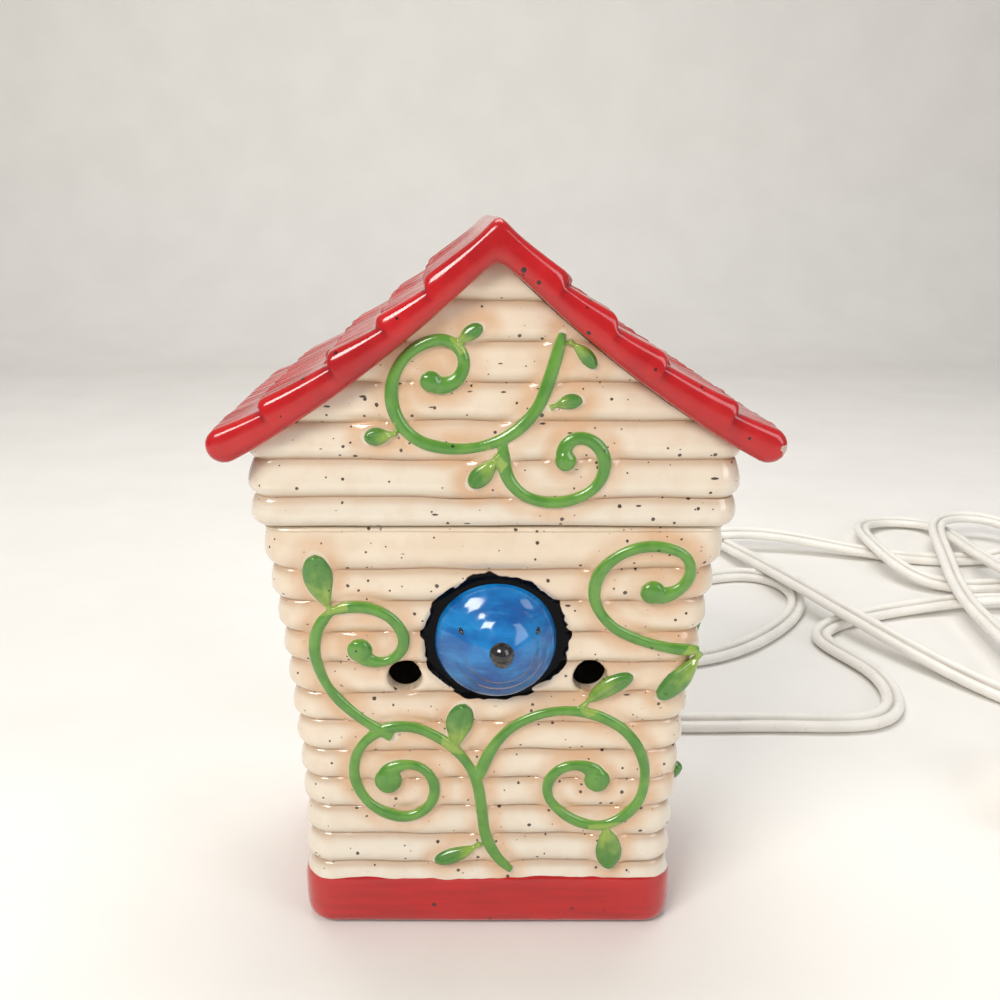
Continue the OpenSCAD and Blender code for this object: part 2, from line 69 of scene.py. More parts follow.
# ---------------------------------------------------------------- mesh helpers
def new_object(name, points, faces, smooth=True):
    """A mesh object from points in mm and a list of face arrays, each with one corner count."""
    mesh = bpy.data.meshes.new(name)
    points = np.asarray(points, float).reshape(-1, 3)
    faces = [np.asarray(f, np.int32) for f in faces if len(f)]
    mesh.vertices.add(len(points))
    mesh.vertices.foreach_set("co", (points * MM).astype(np.float32).ravel())
    corners = np.concatenate([f.ravel() for f in faces])
    sizes = np.concatenate([np.full(len(f), f.shape[1], np.int32) for f in faces])
    mesh.loops.add(len(corners))
    mesh.loops.foreach_set("vertex_index", corners)
    mesh.polygons.add(len(sizes))
    mesh.polygons.foreach_set("loop_start", np.concatenate([[0], np.cumsum(sizes)[:-1]]).astype(np.int32))
    mesh.polygons.foreach_set("loop_total", sizes)
    mesh.update(calc_edges=True)
    mesh.validate()
    mesh.polygons.foreach_set("use_smooth", np.full(len(mesh.polygons), smooth))
    obj = bpy.data.objects.new(name, mesh)
    bpy.context.scene.collection.objects.link(obj)
    return obj


def grid_faces(rows, columns, wrap=True, first=0):
    """Quads between neighbouring rows of a grid of points, closed round each row if wrap."""
    r = np.arange(rows - 1)[:, None]
    c = np.arange(columns if wrap else columns - 1)[None, :]
    d = (c + 1) % columns
    quads = np.stack([r * columns + c + 0 * d, r * columns + d, (r + 1) * columns + d,
                      (r + 1) * columns + c + 0 * d], -1)
    return quads.reshape(-1, 4) + first


def closed_loft(rings, loop=False):
    """Points and faces of a solid through rings (each N points): capped at both ends, or looped."""
    rings = np.asarray(rings, float)
    count, columns = rings.shape[:2]
    points = rings.reshape(-1, 3)
    faces = [grid_faces(count, columns)]
    if loop:
        c = np.arange(columns)
        d = (c + 1) % columns
        last = (count - 1) * columns
        faces.append(np.stack([last + c, last + d, d, c], -1))
        return points, faces
    c = np.arange(columns)
    d = (c + 1) % columns
    low, high = len(points), len(points) + 1
    points = np.vstack([points, rings[0].mean(0), rings[-1].mean(0)])
    last = (count - 1) * columns
    faces.append(np.stack([d, c, np.full(columns, low)], -1))
    faces.append(np.stack([last + c, last + d, np.full(columns, high)], -1))
    return points, faces


def joined(parts):
    """Several (points, faces) as one."""
    points, faces, start = [], [], 0
    for p, fs in parts:
        points.append(p)
        faces += [np.asarray(f) + start for f in fs]
        start += len(p)
    return np.vstack(points), faces


def positions(obj):
    co = np.zeros(len(obj.data.vertices) * 3, np.float32)
    obj.data.vertices.foreach_get("co", co)
    return co.reshape(-1, 3).astype(float) / MM


def move_to(obj, points):
    obj.data.vertices.foreach_set("co", (points * MM).astype(np.float32).ravel())
    obj.data.update()


def mark(obj, name, values):
    """Stores one number per point, which the materials read."""
    attribute = obj.data.attributes.get(name) or obj.data.attributes.new(name, "FLOAT", "POINT")
    attribute.data.foreach_set("value", np.asarray(values, np.float32))


def use_modifiers(obj):
    """Applies the object's modifiers to its mesh."""
    bpy.context.view_layer.update()
    graph = bpy.context.evaluated_depsgraph_get()
    mesh = bpy.data.meshes.new_from_object(obj.evaluated_get(graph))
    obj.modifiers.clear()
    old, obj.data = obj.data, mesh
    mesh.name = obj.name
    bpy.data.meshes.remove(old)
    mesh.polygons.foreach_set("use_smooth", np.ones(len(mesh.polygons), bool))


def cut(obj, *tools, operation="DIFFERENCE"):
    for tool in tools:
        m = obj.modifiers.new("cut", "BOOLEAN")
        m.operation, m.solver, m.object = operation, "EXACT", tool
    use_modifiers(obj)
    for tool in tools:
        bpy.data.objects.remove(tool)


def remeshed(obj, voxel, rounds):
    """Melts an object's overlapping parts into one skin and softens it."""
    m = obj.modifiers.new("melt", "REMESH")
    m.mode, m.voxel_size = "VOXEL", voxel * MM
    s = obj.modifiers.new("soften", "SMOOTH")
    s.factor, s.iterations = 0.5, rounds
    use_modifiers(obj)


def sharp_by_angle(obj, degrees):
    """Splits the shading at edges sharper than this."""
    bm = bmesh.new()
    bm.from_mesh(obj.data)
    limit = math.radians(degrees)
    for edge in bm.edges:
        edge.smooth = len(edge.link_faces) == 2 and edge.calc_face_angle(0) < limit
    bm.to_mesh(obj.data)
    bm.free()


def smoothstep(low, high, x):
    t = np.clip((x - low) / (high - low), 0, 1)
    return t * t * (3 - 2 * t)


def waves(seed, angle, terms):
    """A smooth periodic wobble: terms are (frequency, height)."""
    r = random.Random(seed)
    return sum(h * np.sin(f * angle + r.uniform(0, 2 * math.pi)) for f, h in terms)


def bumps(seed, points, size):
    """Smooth seeded noise of about -1 to 1 whose lumps are about size mm across."""
    r = np.random.default_rng(seed)
    total = np.zeros(len(points))
    for _ in range(9):
        way = r.normal(size=3)
        way *= r.uniform(0.6, 1.6) * math.pi / size / np.linalg.norm(way)
        total += np.sin(points @ way + r.uniform(0, 2 * math.pi))
    return total / 3.2


# ---------------------------------------------------------------- the cord
CORE_R = 1.85
CORD_Z = 7.5                  # where it leaves the housing
RELIEF_TIP = 54
FLAT = 2.63                   # height of its middle where it lies on the table
SWITCH_Z = 5.5
ROUTE = [[0, RELIEF_TIP, CORD_Z], [0, 72, 6], [6, 102, FLAT], [40, 156, FLAT], [84, 186, FLAT],
         [132, 210, FLAT], [146, 172, FLAT], [115, 130, FLAT], [78, 104, FLAT], [30, 116, FLAT],
         [32, 58, FLAT], [94, 66, FLAT], [138, 58, FLAT], [148, 104, FLAT], [124, 134, FLAT],
         [170, 158, FLAT], [210, 164, SWITCH_Z], [250, 164, SWITCH_Z], [290, 164, SWITCH_Z],
         [330, 164, SWITCH_Z], [337, 206, FLAT], [290, 207, FLAT], [242, 186, FLAT],
         [196, 178, 4], [190, 222, 11], [203, 280, 4], [251, 282, FLAT], [232, 214, 10],
         [234, 160, 12], [246, 106, FLAT], [230, 58, FLAT], [188, 64, FLAT], [166, 104, 4],
         [140, 152, 12], [128, 236, 4], [108, 290, FLAT], [64, 280, FLAT], [80, 228, 7],
         [140, 250, 11], [192, 226, FLAT], [236, 216, FLAT], [276, 226, 8], [270, 266, 11],
         [234, 260, 12], [218, 208, 13], [198, 150, 8], [196, 92, 11], [171, 42, 6.5]]
SWITCH_SPAN = (17.1, 17.9)    # inside the switch the cord is stripped, so its skin stops
TILTED_SPAN = (30.5, 34.5)    # the one stretch that lies nearly on its edge


def curve_at(points, s):
    """Uniform cubic B-spline through the table of points, with phantom ends."""
    p = np.vstack([2 * points[0] - points[1], points, 2 * points[-1] - points[-2]])
    i = np.minimum(s.astype(int), len(points) - 2)
    t = (s - i)[:, None]
    return ((1 - t) ** 3 * p[i] + (3 * t ** 3 - 6 * t ** 2 + 4) * p[i + 1]
            + (-3 * t ** 3 + 3 * t ** 2 + 3 * t + 1) * p[i + 2] + t ** 3 * p[i + 3]) / 6


def build_cord():
    route = np.array(ROUTE, float)
    s = np.linspace(0, len(route) - 1, 1400)
    line = curve_at(route, s)
    ways = np.gradient(line, axis=0)
    ways /= np.linalg.norm(ways, axis=1)[:, None]
    side = np.cross(ways, [0, 0, 1])
    side /= np.linalg.norm(side, axis=1)[:, None]
    up = np.cross(side, ways)
    tilt_peak = smoothstep(TILTED_SPAN[0] - 1, TILTED_SPAN[0] + 0.5, s) \
        * (1 - smoothstep(TILTED_SPAN[1] - 0.5, TILTED_SPAN[1] + 1, s))
    most = np.radians(22 + 38 * tilt_peak) * smoothstep(0, 1.5, s) \
        * (1 - smoothstep(46, 47, s)) * (1 - smoothstep(15.2, 16.2, s) * (1 - smoothstep(18.8, 19.8, s)))
    roll = most * side[:, 1] + np.radians(5) * np.sin(s * 2.3)
    line[:, 2] = np.maximum(line[:, 2], CORE_R + CORE_R * np.abs(np.sin(roll)))
    across = side * np.cos(roll)[:, None] + up * np.sin(roll)[:, None]
    over = -side * np.sin(roll)[:, None] + up * np.cos(roll)[:, None]

    # Section: two round cores joined by a web, as [across, over].
    section = []
    for centre in (CORE_R, -CORE_R):
        start = -156 if centre > 0 else 24
        for k in range(17):
            a = math.radians(start + 312 * k / 16)
            section.append([centre + CORE_R * math.cos(a), CORE_R * math.sin(a)])
    section = np.array(section)
    rings = (line[:, None, :] + across[:, None, :] * section[None, :, :1]
             + over[:, None, :] * section[None, :, 1:])
    before, after = s <= SWITCH_SPAN[0], s >= SWITCH_SPAN[1]
    cord = new_object("flat_cord", *joined([closed_loft(rings[before]), closed_loft(rings[after])]))
    # web: 1 along the groove between the two cores, where the cord's material paints shade.
    web = np.exp(-(section[:, 0] / 0.45) ** 2)
    caps = np.zeros(2)                    # each length ends in two cap points
    mark(cord, "web", np.concatenate([np.tile(web, before.sum()), caps, np.tile(web, after.sum()), caps]))
    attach(cord, "house")
    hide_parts("cord_lamp_side", "cord_plug_side")
    return cord


add_camera()
flat_cord = build_cord()

# ---------------------------------------------------------------- sizes shared with the CAD
RIDGE_Z, RIM_Z = 160.0, 99.0
WAIST_W, WAIST_D = 41.8, 28.8
LID_W, LID_D = 49.5, 34.5
LID_WALL, BODY_WALL = 4.0, 4.5
BOARD, LID_BOARD = 7.3, 7.85
FOOT_Z, BOARD_BASE = 0.8, 16.5
LID_FIRST = RIM_Z + 6.4
CORNER_R = 6.0
DECK_Z, DECK_T, DISH_HOLE_R = 90.5, 4.0, 25.3
RECESS_W, RECESS_D = 41.5, 28.1
LIP_W, LIP_D, LIP_TOP = LID_W - LID_WALL - 0.6, LID_D - LID_WALL - 0.4, RIM_Z + 2.6
VENTS, VENT_Z, VENT_R = (-18.8, 21.3), 64.0, 3.75
EAVE_W, ROOF_T, ROOF_FRONT, ROOF_REAR = 56.5, 8.1, -39.0, 42.0
BIRD = np.array([0.8, -30.4, 73.2])
BIRD_R = 13.0
BIRD_BACK = -27.0        # nothing of the head lies behind this
BIRD_DEPTH = 0.57        # how much the head is flattened from front to back

BODY_GROOVES = [BOARD_BASE + BOARD * k for k in range(11)]
LID_GROOVES = [LID_FIRST + LID_BOARD * k for k in range(7)]


def flare(z):
    return (np.maximum(0, np.asarray(z, float) - 24) / 74) ** 1.6


def body_w(z):
    return WAIST_W + 6.3 * flare(z)


def body_d(z):
    return WAIST_D + 4.7 * flare(z)


def roof_top(x):
    """Height of the roof's mean upper face; the ridge is slightly rounded."""
    x = np.abs(np.asarray(x, float))
    return RIDGE_Z - 0.957 * (np.sqrt(x * x + 1.2) - 0.9) + 0.00396 * x * x


def roof_under(x):
    x = np.abs(np.asarray(x, float))
    return RIDGE_Z - 0.957 * x + 0.00396 * x * x - ROOF_T


def round_the_plan(n_front, n_side, n_corner, dense=()):
    """Columns round a rounded rectangle: which corner each hangs from, its share of the straight
    part, and its outward direction. Front columns crowd together round the values in dense."""
    def spaced(n, crowd):
        u = np.linspace(-1, 1, 2001)
        weight = np.ones_like(u)
        for c in crowd:
            weight += 1.3 * np.exp(-((u - c) / 0.13) ** 2)
        total = np.concatenate([[0], np.cumsum((weight[1:] + weight[:-1]) / 2)])
        return np.interp(np.arange(n) / n * total[-1], total, u)
    columns = []
    for turn, n, crowd in ((0, n_front, dense), (1, n_side, ()), (2, n_front, ()), (3, n_side, ())):
        a0 = -90 + 90 * turn
        out = (round(math.cos(math.radians(a0))), round(math.sin(math.radians(a0))))
        along = (-out[1], out[0])
        for u in spaced(n, crowd):
            columns.append((along[0] * u + out[0], along[1] * u + out[1], out[0], out[1]))
        for k in range(n_corner):
            a = math.radians(a0 + 90 * k / n_corner)
            columns.append((along[0] + out[0], along[1] + out[1], math.cos(a), math.sin(a)))
    return np.array(columns)


def plan_ring(columns, w, d, r, z):
    """A ring of points: a rounded rectangle of half sizes w, d, corner radius r at height z."""
    x = columns[:, 0] * (w - r) + columns[:, 2] * r
    y = columns[:, 1] * (d - r) + columns[:, 3] * r
    return np.stack([x, y, np.broadcast_to(z, x.shape)], -1)


def plan_angle(points, w, d):
    return np.arctan2(points[..., 1] / d, points[..., 0] / w)


def groove_wave(seed, angle):
    return waves(seed, angle, [(3, 0.12), (7, 0.12), (13, 0.1), (22, 0.06)])


# ---------------------------------------------------------------- vines: paths on the walls
# [x, z, heading, [[length, turn], ...], knob radius]
BODY_STEMS = [
    [5, 15, 140, [[14, -44], [8, 2], [10, 28], [12, 32], [16, 85], [22, 105], [18, 148], [8, 85],
                  [3, 60]], 3.2],
    [-3, 38, 75, [[9, -12], [15, -48], [16, -48], [20, -68], [11, -55], [6, -40], [10, -40],
                  [17, -160], [3, -50]], 3.0],
    [-34, 80, 27, [[12, -60], [6, -40], [5, -58], [7, -75], [3, -50]], 2.8],
    [-34, 80, -140, [[7, 38], [6, 24], [13, 34], [12, 14]], 0],
    [44, 71, 180, [[17, -28], [8, -34], [11, -70], [16, -74], [8, -95], [5, -45], [3, -50]], 2.7]]
GABLE_STEMS = [
    [12.5, 138.5, -101, [[12, -8], [14, -50], [13, -36], [8, -45], [8.5, -45], [12, -65], [6, -75],
                         [8, -105], [3, -50]], 2.2],
    [1.5, 117, -90, [[4, 5], [10, 65], [12, 55], [8, 70], [6, 65], [5, 90], [2, 40]], 2.2]]
SIDE_STEMS = [
    [-14, 20, 100, [[22, -20], [24, 30], [26, -130], [20, -150], [8, -120]], 2.8],
    [-10, 42, 60, [[14, -70], [18, -150], [8, -120]], 2.4]]
# [x, z, heading, length, width]
BODY_LEAVES = [[-34, 80, 102, 13.5, 6.4], [-7.5, 46, 81, 12, 6.2], [-2, 22, 203, 11.5, 4.2],
               [26, 27.5, 276, 12, 6.2], [19.5, 57, 36, 13.5, 4.6], [44.5, 70.5, 233, 14, 5.4]]
GABLE_LEAVES = [[-8, 136, 36, 6.5, 3.2], [-19.5, 119, 187, 6.5, 3.8],
                [0.5, 114.5, 228, 8.5, 4.4], [13.8, 137, -45, 7.5, 3], [10.5, 124, 13, 6.5, 3.2]]
SIDE_LEAVES = [[-13, 64, 130, 13, 5.5], [-16, 34, 150, 11, 4.5], [8, 78, 20, 12, 5]]
STEM_R = 1.3


def trace(stem, step=0.6):
    """Points along a stem on the flat wall."""
    x, z, heading, arcs, _ = stem
    points = [(x, z)]
    for length, turn in arcs:
        n = max(2, round(length / step))
        for _ in range(n):
            a = math.radians(heading + turn / n / 2)
            x, z, heading = x + length / n * math.cos(a), z + length / n * math.sin(a), heading + turn / n
            points.append((x, z))
    return np.array(points)


def stem_radius(n, knob, seed):
    """Half width along a stem: thin at its root, swelling into its knob."""
    t = np.arange(n)
    r = STEM_R * (0.72 + 0.28 * smoothstep(0, 5, t)) * (1 + 0.07 * waves(seed, t / 9, [(1, 1), (2.3, 0.7)]))
    if knob:
        r = r + (knob * 0.8 - STEM_R) * smoothstep(13, 1, n - t)
    return r


def leaf_spine(leaf, n=26):
    """Points, half width and height along a paddle-shaped leaf."""
    x, z, heading, length, width = leaf
    t = np.linspace(0, 1, n)
    a = math.radians(heading)
    path = np.stack([x + math.cos(a) * length * t, z + math.sin(a) * length * t], -1)
    bow = 0.05 * length * np.sin(math.pi * t)
    path += np.stack([-math.sin(a) * bow, math.cos(a) * bow], -1)
    # A paddle: it widens from a thin root and ends in a round tip.
    widest = 0.64
    half = np.where(t < widest, np.sin(math.pi / 2 * np.minimum(t / widest, 1)) ** 1.3,
                    np.sqrt(np.maximum(0, 1 - ((t - widest) / (1 - widest)) ** 2)))
    root = 0.75 * (1 - smoothstep(0, 0.35, t))
    half = np.maximum(np.maximum(half * width / 2, root), 0.12)
    return path, half, np.minimum(1.5, 0.55 + 0.75 * half)


class Wall:
    """A wall that carries vines: maps flat [u, v] to the CAD frame."""

    def __init__(self, out, turn=0):
        self.out, self.turn = out, math.radians(turn)

    def place(self, u, v, proud):
        y = -(self.out(v) + proud)
        c, s = math.cos(self.turn), math.sin(self.turn)
        return np.stack([u * c - y * s, u * s + y * c, v + 0 * u], -1)

    def flat(self, points):
        c, s = math.cos(self.turn), math.sin(self.turn)
        u = points[:, 0] * c + points[:, 1] * s
        y = -points[:, 0] * s + points[:, 1] * c
        return np.stack([u, points[:, 2]], -1), -y


FRONT = Wall(body_d)
RIGHT, LEFT = Wall(body_w, 90), Wall(body_w, -90)
GABLE = Wall(lambda z: LID_D + 0 * np.asarray(z, float))


def sprig_field(stems, leaves, flat, reach=9.0):
    """Distance in mm from flat points to the edge of the nearest stem or leaf."""
    centres, radii = [], []
    for i, stem in enumerate(stems):
        path = trace(stem)
        centres.append(path)
        radii.append(stem_radius(len(path), stem[4], i))
        if stem[4]:
            centres.append(path[-1:])
            radii.append(np.array([stem[4]]))
    for leaf in leaves:
        path, half, _ = leaf_spine(leaf)
        centres.append(path)
        radii.append(half)
    centres, radii = np.vstack(centres), np.concatenate(radii)
    best = np.full(len(flat), reach)
    for c, r in zip(centres, radii):
        near = np.abs(flat - c).max(1) < reach + r
        best[near] = np.minimum(best[near], np.hypot(*(flat[near] - c).T) - r)
    return best


def vine_distance(points):
    """The same for points of the body or lid in the CAD frame."""
    best = np.full(len(points), 9.0)
    for wall, stems, leaves, low, high in (
            (FRONT, BODY_STEMS, BODY_LEAVES, 0, RIM_Z - 0.01), (GABLE, GABLE_STEMS, GABLE_LEAVES, RIM_Z, 170),
            (LEFT, SIDE_STEMS, SIDE_LEAVES, 0, RIM_Z - 0.01),
            (RIGHT, SIDE_STEMS, SIDE_LEAVES, 0, RIM_Z - 0.01)):
        flat, depth = wall.flat(points)
        on = (points[:, 2] > low) & (points[:, 2] < high) & (np.abs(depth - wall.out(points[:, 2])) < 3.2)
        if on.any():
            best[on] = np.minimum(best[on], sprig_field(stems, leaves, flat[on]))
    return best


def build_vines(name, walls, stems, leaves, node):
    parts = []
    for wall in walls:
        for i, stem in enumerate(stems):
            path = trace(stem)
            half = stem_radius(len(path), stem[4], i)
            parts.append(tube_on(wall, path, half, 1.0 + 0.25 * (half - STEM_R), 0.35))
            if stem[4]:
                t = np.linspace(-1, 1, 13)
                way = (path[-1] - path[-3]) / np.linalg.norm(path[-1] - path[-3])
                round_half = stem[4] * np.sqrt(np.maximum(1e-4, 1 - t * t))
                parts.append(tube_on(wall, path[-1] + way * stem[4] * t[:, None], round_half,
                                     0.35 + 1.35 * (round_half / stem[4]) ** 0.7, 0.3))
        for leaf in leaves:
            path, half, height = leaf_spine(leaf)
            parts.append(tube_on(wall, path, half, height, 0.3))
    obj = new_object(name, *joined(parts))
    remeshed(obj, 0.24, 2)
    points = positions(obj)
    tone = np.zeros(len(points))
    edge = np.zeros(len(points))
    for wall in walls:
        flat, depth = wall.flat(points)
        on = np.abs(depth - wall.out(points[:, 2])) < 4
        edge[on] = np.clip(-sprig_field(stems, leaves, flat[on]) / 1.1, 0, 1)
        for leaf in leaves:
            a = math.radians(leaf[2])
            rel = flat - np.array(leaf[:2])
            t = (rel @ [math.cos(a), math.sin(a)]) / leaf[3]
            v = np.abs(rel @ [-math.sin(a), math.cos(a)]) / leaf[4]
            here = on & (t > -0.02) & (t < 1.08) & (v < 0.6)
            tone[here] = np.maximum(tone[here], np.clip(t[here], 0.02, 1))
            rib = here & (t > 0.12) & (t < 0.85)
            down = 0.32 * np.exp(-(v[rib] * leaf[4] / 0.45) ** 2)
            out = wall.place(np.zeros(1), np.zeros(1), 1.0) - wall.place(np.zeros(1), np.zeros(1), 0.0)
            points[rib] -= out * down[:, None]
    move_to(obj, points)
    mark(obj, "leaf", tone)
    mark(obj, "edge", edge)
    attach(obj, "lid" if node == "gable_vines" else "house")
    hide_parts(node)
    return obj


def tube_on(wall, path, half, height, proud):
    """A half-sunk bead along flat points on a wall, its ends rounded off."""
    ways = np.gradient(path, axis=0)
    ways /= np.linalg.norm(ways, axis=1)[:, None]
    a = np.radians(np.arange(0, 360, 30) + 15)
    u = path[:, None, 0] - ways[:, None, 1] * half[:, None] * np.cos(a)
    v = path[:, None, 1] + ways[:, None, 0] * half[:, None] * np.cos(a)
    lift = proud + height[:, None] * np.sin(a)
    return closed_loft(wall.place(u, v, lift))


# ---------------------------------------------------------------- the cast body
def board_profile(f, lip=0.34):
    """How far a lapped board stands out, from its lower edge (f 0) to its upper one (f 1)."""
    rise = np.sin(math.pi / 2 * np.minimum(f / lip, 1)) ** 0.8
    fall = 1 - 0.85 * np.clip((f - lip) / (1 - lip), 0, 1) ** 1.6
    return -0.95 + 1.6 * rise * fall


BOARD_STEPS = [0, .012, .03, .055, .085, .125, .17, .22, .3, .4, .51, .62, .73, .83, .91, .965]
BAND_ROWS = [[0.8, -0.3], [0.95, 0.15], [1.3, 0.55], [1.9, 0.85], [2.8, 1.05], [4.2, 1.12],
             [6, 1.18], [8, 1.16], [10, 1.12], [11.2, 1.05], [11.9, 0.95], [12.4, 0.82],
             [12.8, 0.68], [13.2, 0.52], [13.8, 0.34], [14.5, 0.16], [15.2, 0], [15.8, -0.2],
             [16.2, -0.42]]
PATCH = np.array([0.7, 73.3])     # the black ground round the bird: its middle in X and Z
PATCH_W, PATCH_H = 15.6, 15.0


def board_rows(columns, grooves, top, half_w, half_d, seed):
    """Rings of lapped boards from the first groove up to top, as (z, out) arrays."""
    angle = plan_angle(plan_ring(columns, half_w, half_d, CORNER_R, 0), half_w, half_d)
    edges = [g + groove_wave(seed + k, angle) for k, g in enumerate(grooves)] + [top + 0 * angle]
    rows = []
    for k in range(len(grooves)):
        for f in BOARD_STEPS:
            rows.append((edges[k] + f * (edges[k + 1] - edges[k]), board_profile(f) + 0 * angle))
    return rows


def groove_wash_and_shade_at(points, grooves, half_w, half_d, seed):
    """0 to 1: how much tan wash and painted shade a point near a groove gets; it reaches 1.5 mm down under
    each board's lip and 0.7 mm up.
    """
    angle = plan_angle(points, half_w, half_d)
    dark = np.zeros(len(points))
    for k, g in enumerate(grooves):
        up = points[:, 2] - (g + groove_wave(seed + k, angle))
        dark = np.maximum(dark, np.where(up < 0, np.exp(-(up / 1.5) ** 2), np.exp(-(up / 0.7) ** 2)))
    return dark


def apply_relief(points, out_dir, out, vines, seed):
    """Moves skin points out by the boards' profile, faded and filled up beside the vines."""
    flat_here = np.exp(-(np.maximum(vines, 0) / 1.5) ** 2)
    fillet = 0.25 * np.exp(-(np.maximum(vines, 0) / 0.7) ** 2)
    moved = out * (1 - 0.75 * flat_here) + 0.1 * flat_here + fillet
    moved = moved + 0.11 * bumps(seed, points, 14) + 0.035 * bumps(seed + 1, points, 4)
    return points + out_dir * moved[:, None]


def build_body():
    columns = round_the_plan(122, 56, 11, dense=[x / (WAIST_W - CORNER_R) for x in VENTS])
    out_dir = np.stack([columns[:, 2], columns[:, 3], np.zeros(len(columns))], -1)
    rows = [(z + 0 * columns[:, 0], out + 0 * columns[:, 0]) for z, out in BAND_ROWS]
    rows += board_rows(columns, BODY_GROOVES, RIM_Z - 0.9, WAIST_W, WAIST_D, 20)
    rows += [(RIM_Z - 0.75 + 0 * columns[:, 0], -0.28 + 0 * columns[:, 0]),
             (RIM_Z - 0.35 + 0 * columns[:, 0], -0.5 + 0 * columns[:, 0]),
             (RIM_Z - 0.08 + 0 * columns[:, 0], -0.95 + 0 * columns[:, 0]),
             (RIM_Z + 0 * columns[:, 0], -1.6 + 0 * columns[:, 0])]
    base, outs = [], []
    for z, out in rows:
        ring = plan_ring(columns, body_w(z), body_d(z), CORNER_R, z)
        base.append(ring)
        outs.append(out)
    base, outs = np.array(base), np.array(outs)
    flat_points = base.reshape(-1, 3)
    vines = vine_distance(flat_points)
    below_rim = 1 - smoothstep(RIM_Z - 2.5, RIM_Z - 1, flat_points[:, 2])
    above_band = smoothstep(13.5, 17, flat_points[:, 2]) * below_rim
    vines = np.where(above_band > 0, vines + 4 * (1 - above_band), 9)
    # The boards are flattened and sunk a little where the black ground is.
    patch = np.hypot((flat_points[:, 0] - PATCH[0]) / PATCH_W, (flat_points[:, 2] - PATCH[1]) / PATCH_H)
    sunk = (1 - smoothstep(0.95, 1.03, patch)) * (flat_points[:, 1] < 0)
    relief = outs.ravel() * (1 - sunk) - 0.8 * sunk
    skin = apply_relief(flat_points, np.tile(out_dir, (len(base), 1)), relief, vines, 40)
    # The glaze rounds the rims of the two vents.
    for x in VENTS:
        front = skin[:, 1] < 0
        d = np.hypot(skin[:, 0] - x, skin[:, 2] - VENT_Z) - VENT_R
        lip = 1.15
        near = front & (d < lip)
        drop = lip - np.sqrt(np.maximum(0, lip ** 2 - (lip - np.clip(d[near], 0, lip)) ** 2))
        skin[near, 1] += drop
    rings = list(skin.reshape(base.shape))

    def inner(w, d, r, z):
        rings.append(plan_ring(columns, w, d, r, z))

    def to_circle(radius, z):
        plan = plan_ring(columns, RECESS_W, RECESS_D, 4, 0)
        a = np.arctan2(plan[:, 1], plan[:, 0])
        rings.append(np.stack([radius * np.cos(a), radius * np.sin(a), np.full(len(a), z)], -1))

    for z, inset in ((RIM_Z + 0.05, -0.6), (RIM_Z + 0.3, 0), (LIP_TOP - 0.7, 0),
                     (LIP_TOP - 0.2, 0.2), (LIP_TOP, 0.7)):
        inner(LIP_W - inset, LIP_D - inset, 4.5 - inset, z)
    for z, inset in ((LIP_TOP, 0.5), (LIP_TOP - 0.2, 0.1), (LIP_TOP - 0.7, 0), (95, 0), (DECK_Z + 1.6, 0),
                     (DECK_Z + 0.5, 0.4), (DECK_Z, 1.5)):
        inner(RECESS_W - inset, RECESS_D - inset, 4.2 - inset * 0.5, z)
    for radius, z in ((DISH_HOLE_R + 1.2, DECK_Z), (DISH_HOLE_R + 0.3, DECK_Z - 0.3),
                      (DISH_HOLE_R, DECK_Z - 1.1),
                      (DISH_HOLE_R, DECK_Z - DECK_T + 0.8), (DISH_HOLE_R + 0.4, DECK_Z - DECK_T + 0.1),
                      (DISH_HOLE_R + 1.3, DECK_Z - DECK_T)):
        to_circle(radius, z)
    for z in (DECK_Z - DECK_T, DECK_Z - DECK_T - 1, 80, 70, 60, 50, 40, 30, 20, 12, 5, 2.4):
        level = max(z, 13)
        inner(float(body_w(level)) - BODY_WALL, float(body_d(level)) - BODY_WALL, 4.5, z)
    for w, d, z in ((40.2, 27.7, 2.4), (40.2, 27.7, FOOT_Z + 0.4), (40.7, 28.2, FOOT_Z)):
        inner(w, d, 4.4, z)
    body = new_object("body_shell", *closed_loft(np.array(rings), loop=True))

    def rod(x, y, z, way, radius, length, n=64):
        a = np.linspace(0, 2 * math.pi, n, endpoint=False)
        circle = np.stack([np.cos(a), np.sin(a), 0 * a], -1) * radius
        turn = np.array(Vector((0, 0, 1)).rotation_difference(Vector(way)).to_matrix())
        ends = [(circle + [0, 0, h]) @ turn.T + [x, y, z] for h in (0, length)]
        return new_object("rod", *closed_loft(np.array(ends)))

    tools = [rod(x, -18, VENT_Z, (0, -1, 0), VENT_R, 25) for x in VENTS]
    tools.append(rod(0, 22, CORD_Z, (0, 1, 0), 4.65, 15))
    cut(body, *tools)
    posts = []
    for x in (-33, 33):
        for y in (-21, 21):
            a = np.linspace(0, 2 * math.pi, 32, endpoint=False)
            profile = [(5, 1.9), (5.1, 4), (5, 14), (5, 19.2), (4.7, 19.8), (4, 20), (2.2, 20.05)]
            posts.append(closed_loft(np.array([np.stack([x + r * np.cos(a), y + r * np.sin(a), z + 0 * a], -1)
                                               for r, z in profile])))
    legs = new_object("legs", *joined(posts))
    bm = bmesh.new()
    bm.from_mesh(body.data)
    bm.from_mesh(legs.data)
    bm.to_mesh(body.data)
    bm.free()
    bpy.data.objects.remove(legs)
    body.data.polygons.foreach_set("use_smooth", np.ones(len(body.data.polygons), bool))
    sharp_by_angle(body, 48)

    points = positions(body)
    reach = outer_share(points, body_w(points[:, 2]), body_d(points[:, 2]))
    mark(body, "groove", groove_wash_and_shade_at(points, BODY_GROOVES, WAIST_W, WAIST_D, 20) * reach)
    mark(body, "vine", np.where(reach > 0.5, vine_distance(points), 9.0))
    mark(body, "outside", reach)
    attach(body, "house")
    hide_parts("house_body")
    return body


def outer_share(points, w, d):
    """1 on the outside skin of a shell, 0 inside it."""
    far = np.maximum(np.abs(points[:, 0]) - w, np.abs(points[:, 1]) - d)
    return smoothstep(-2.6, -1.8, far)


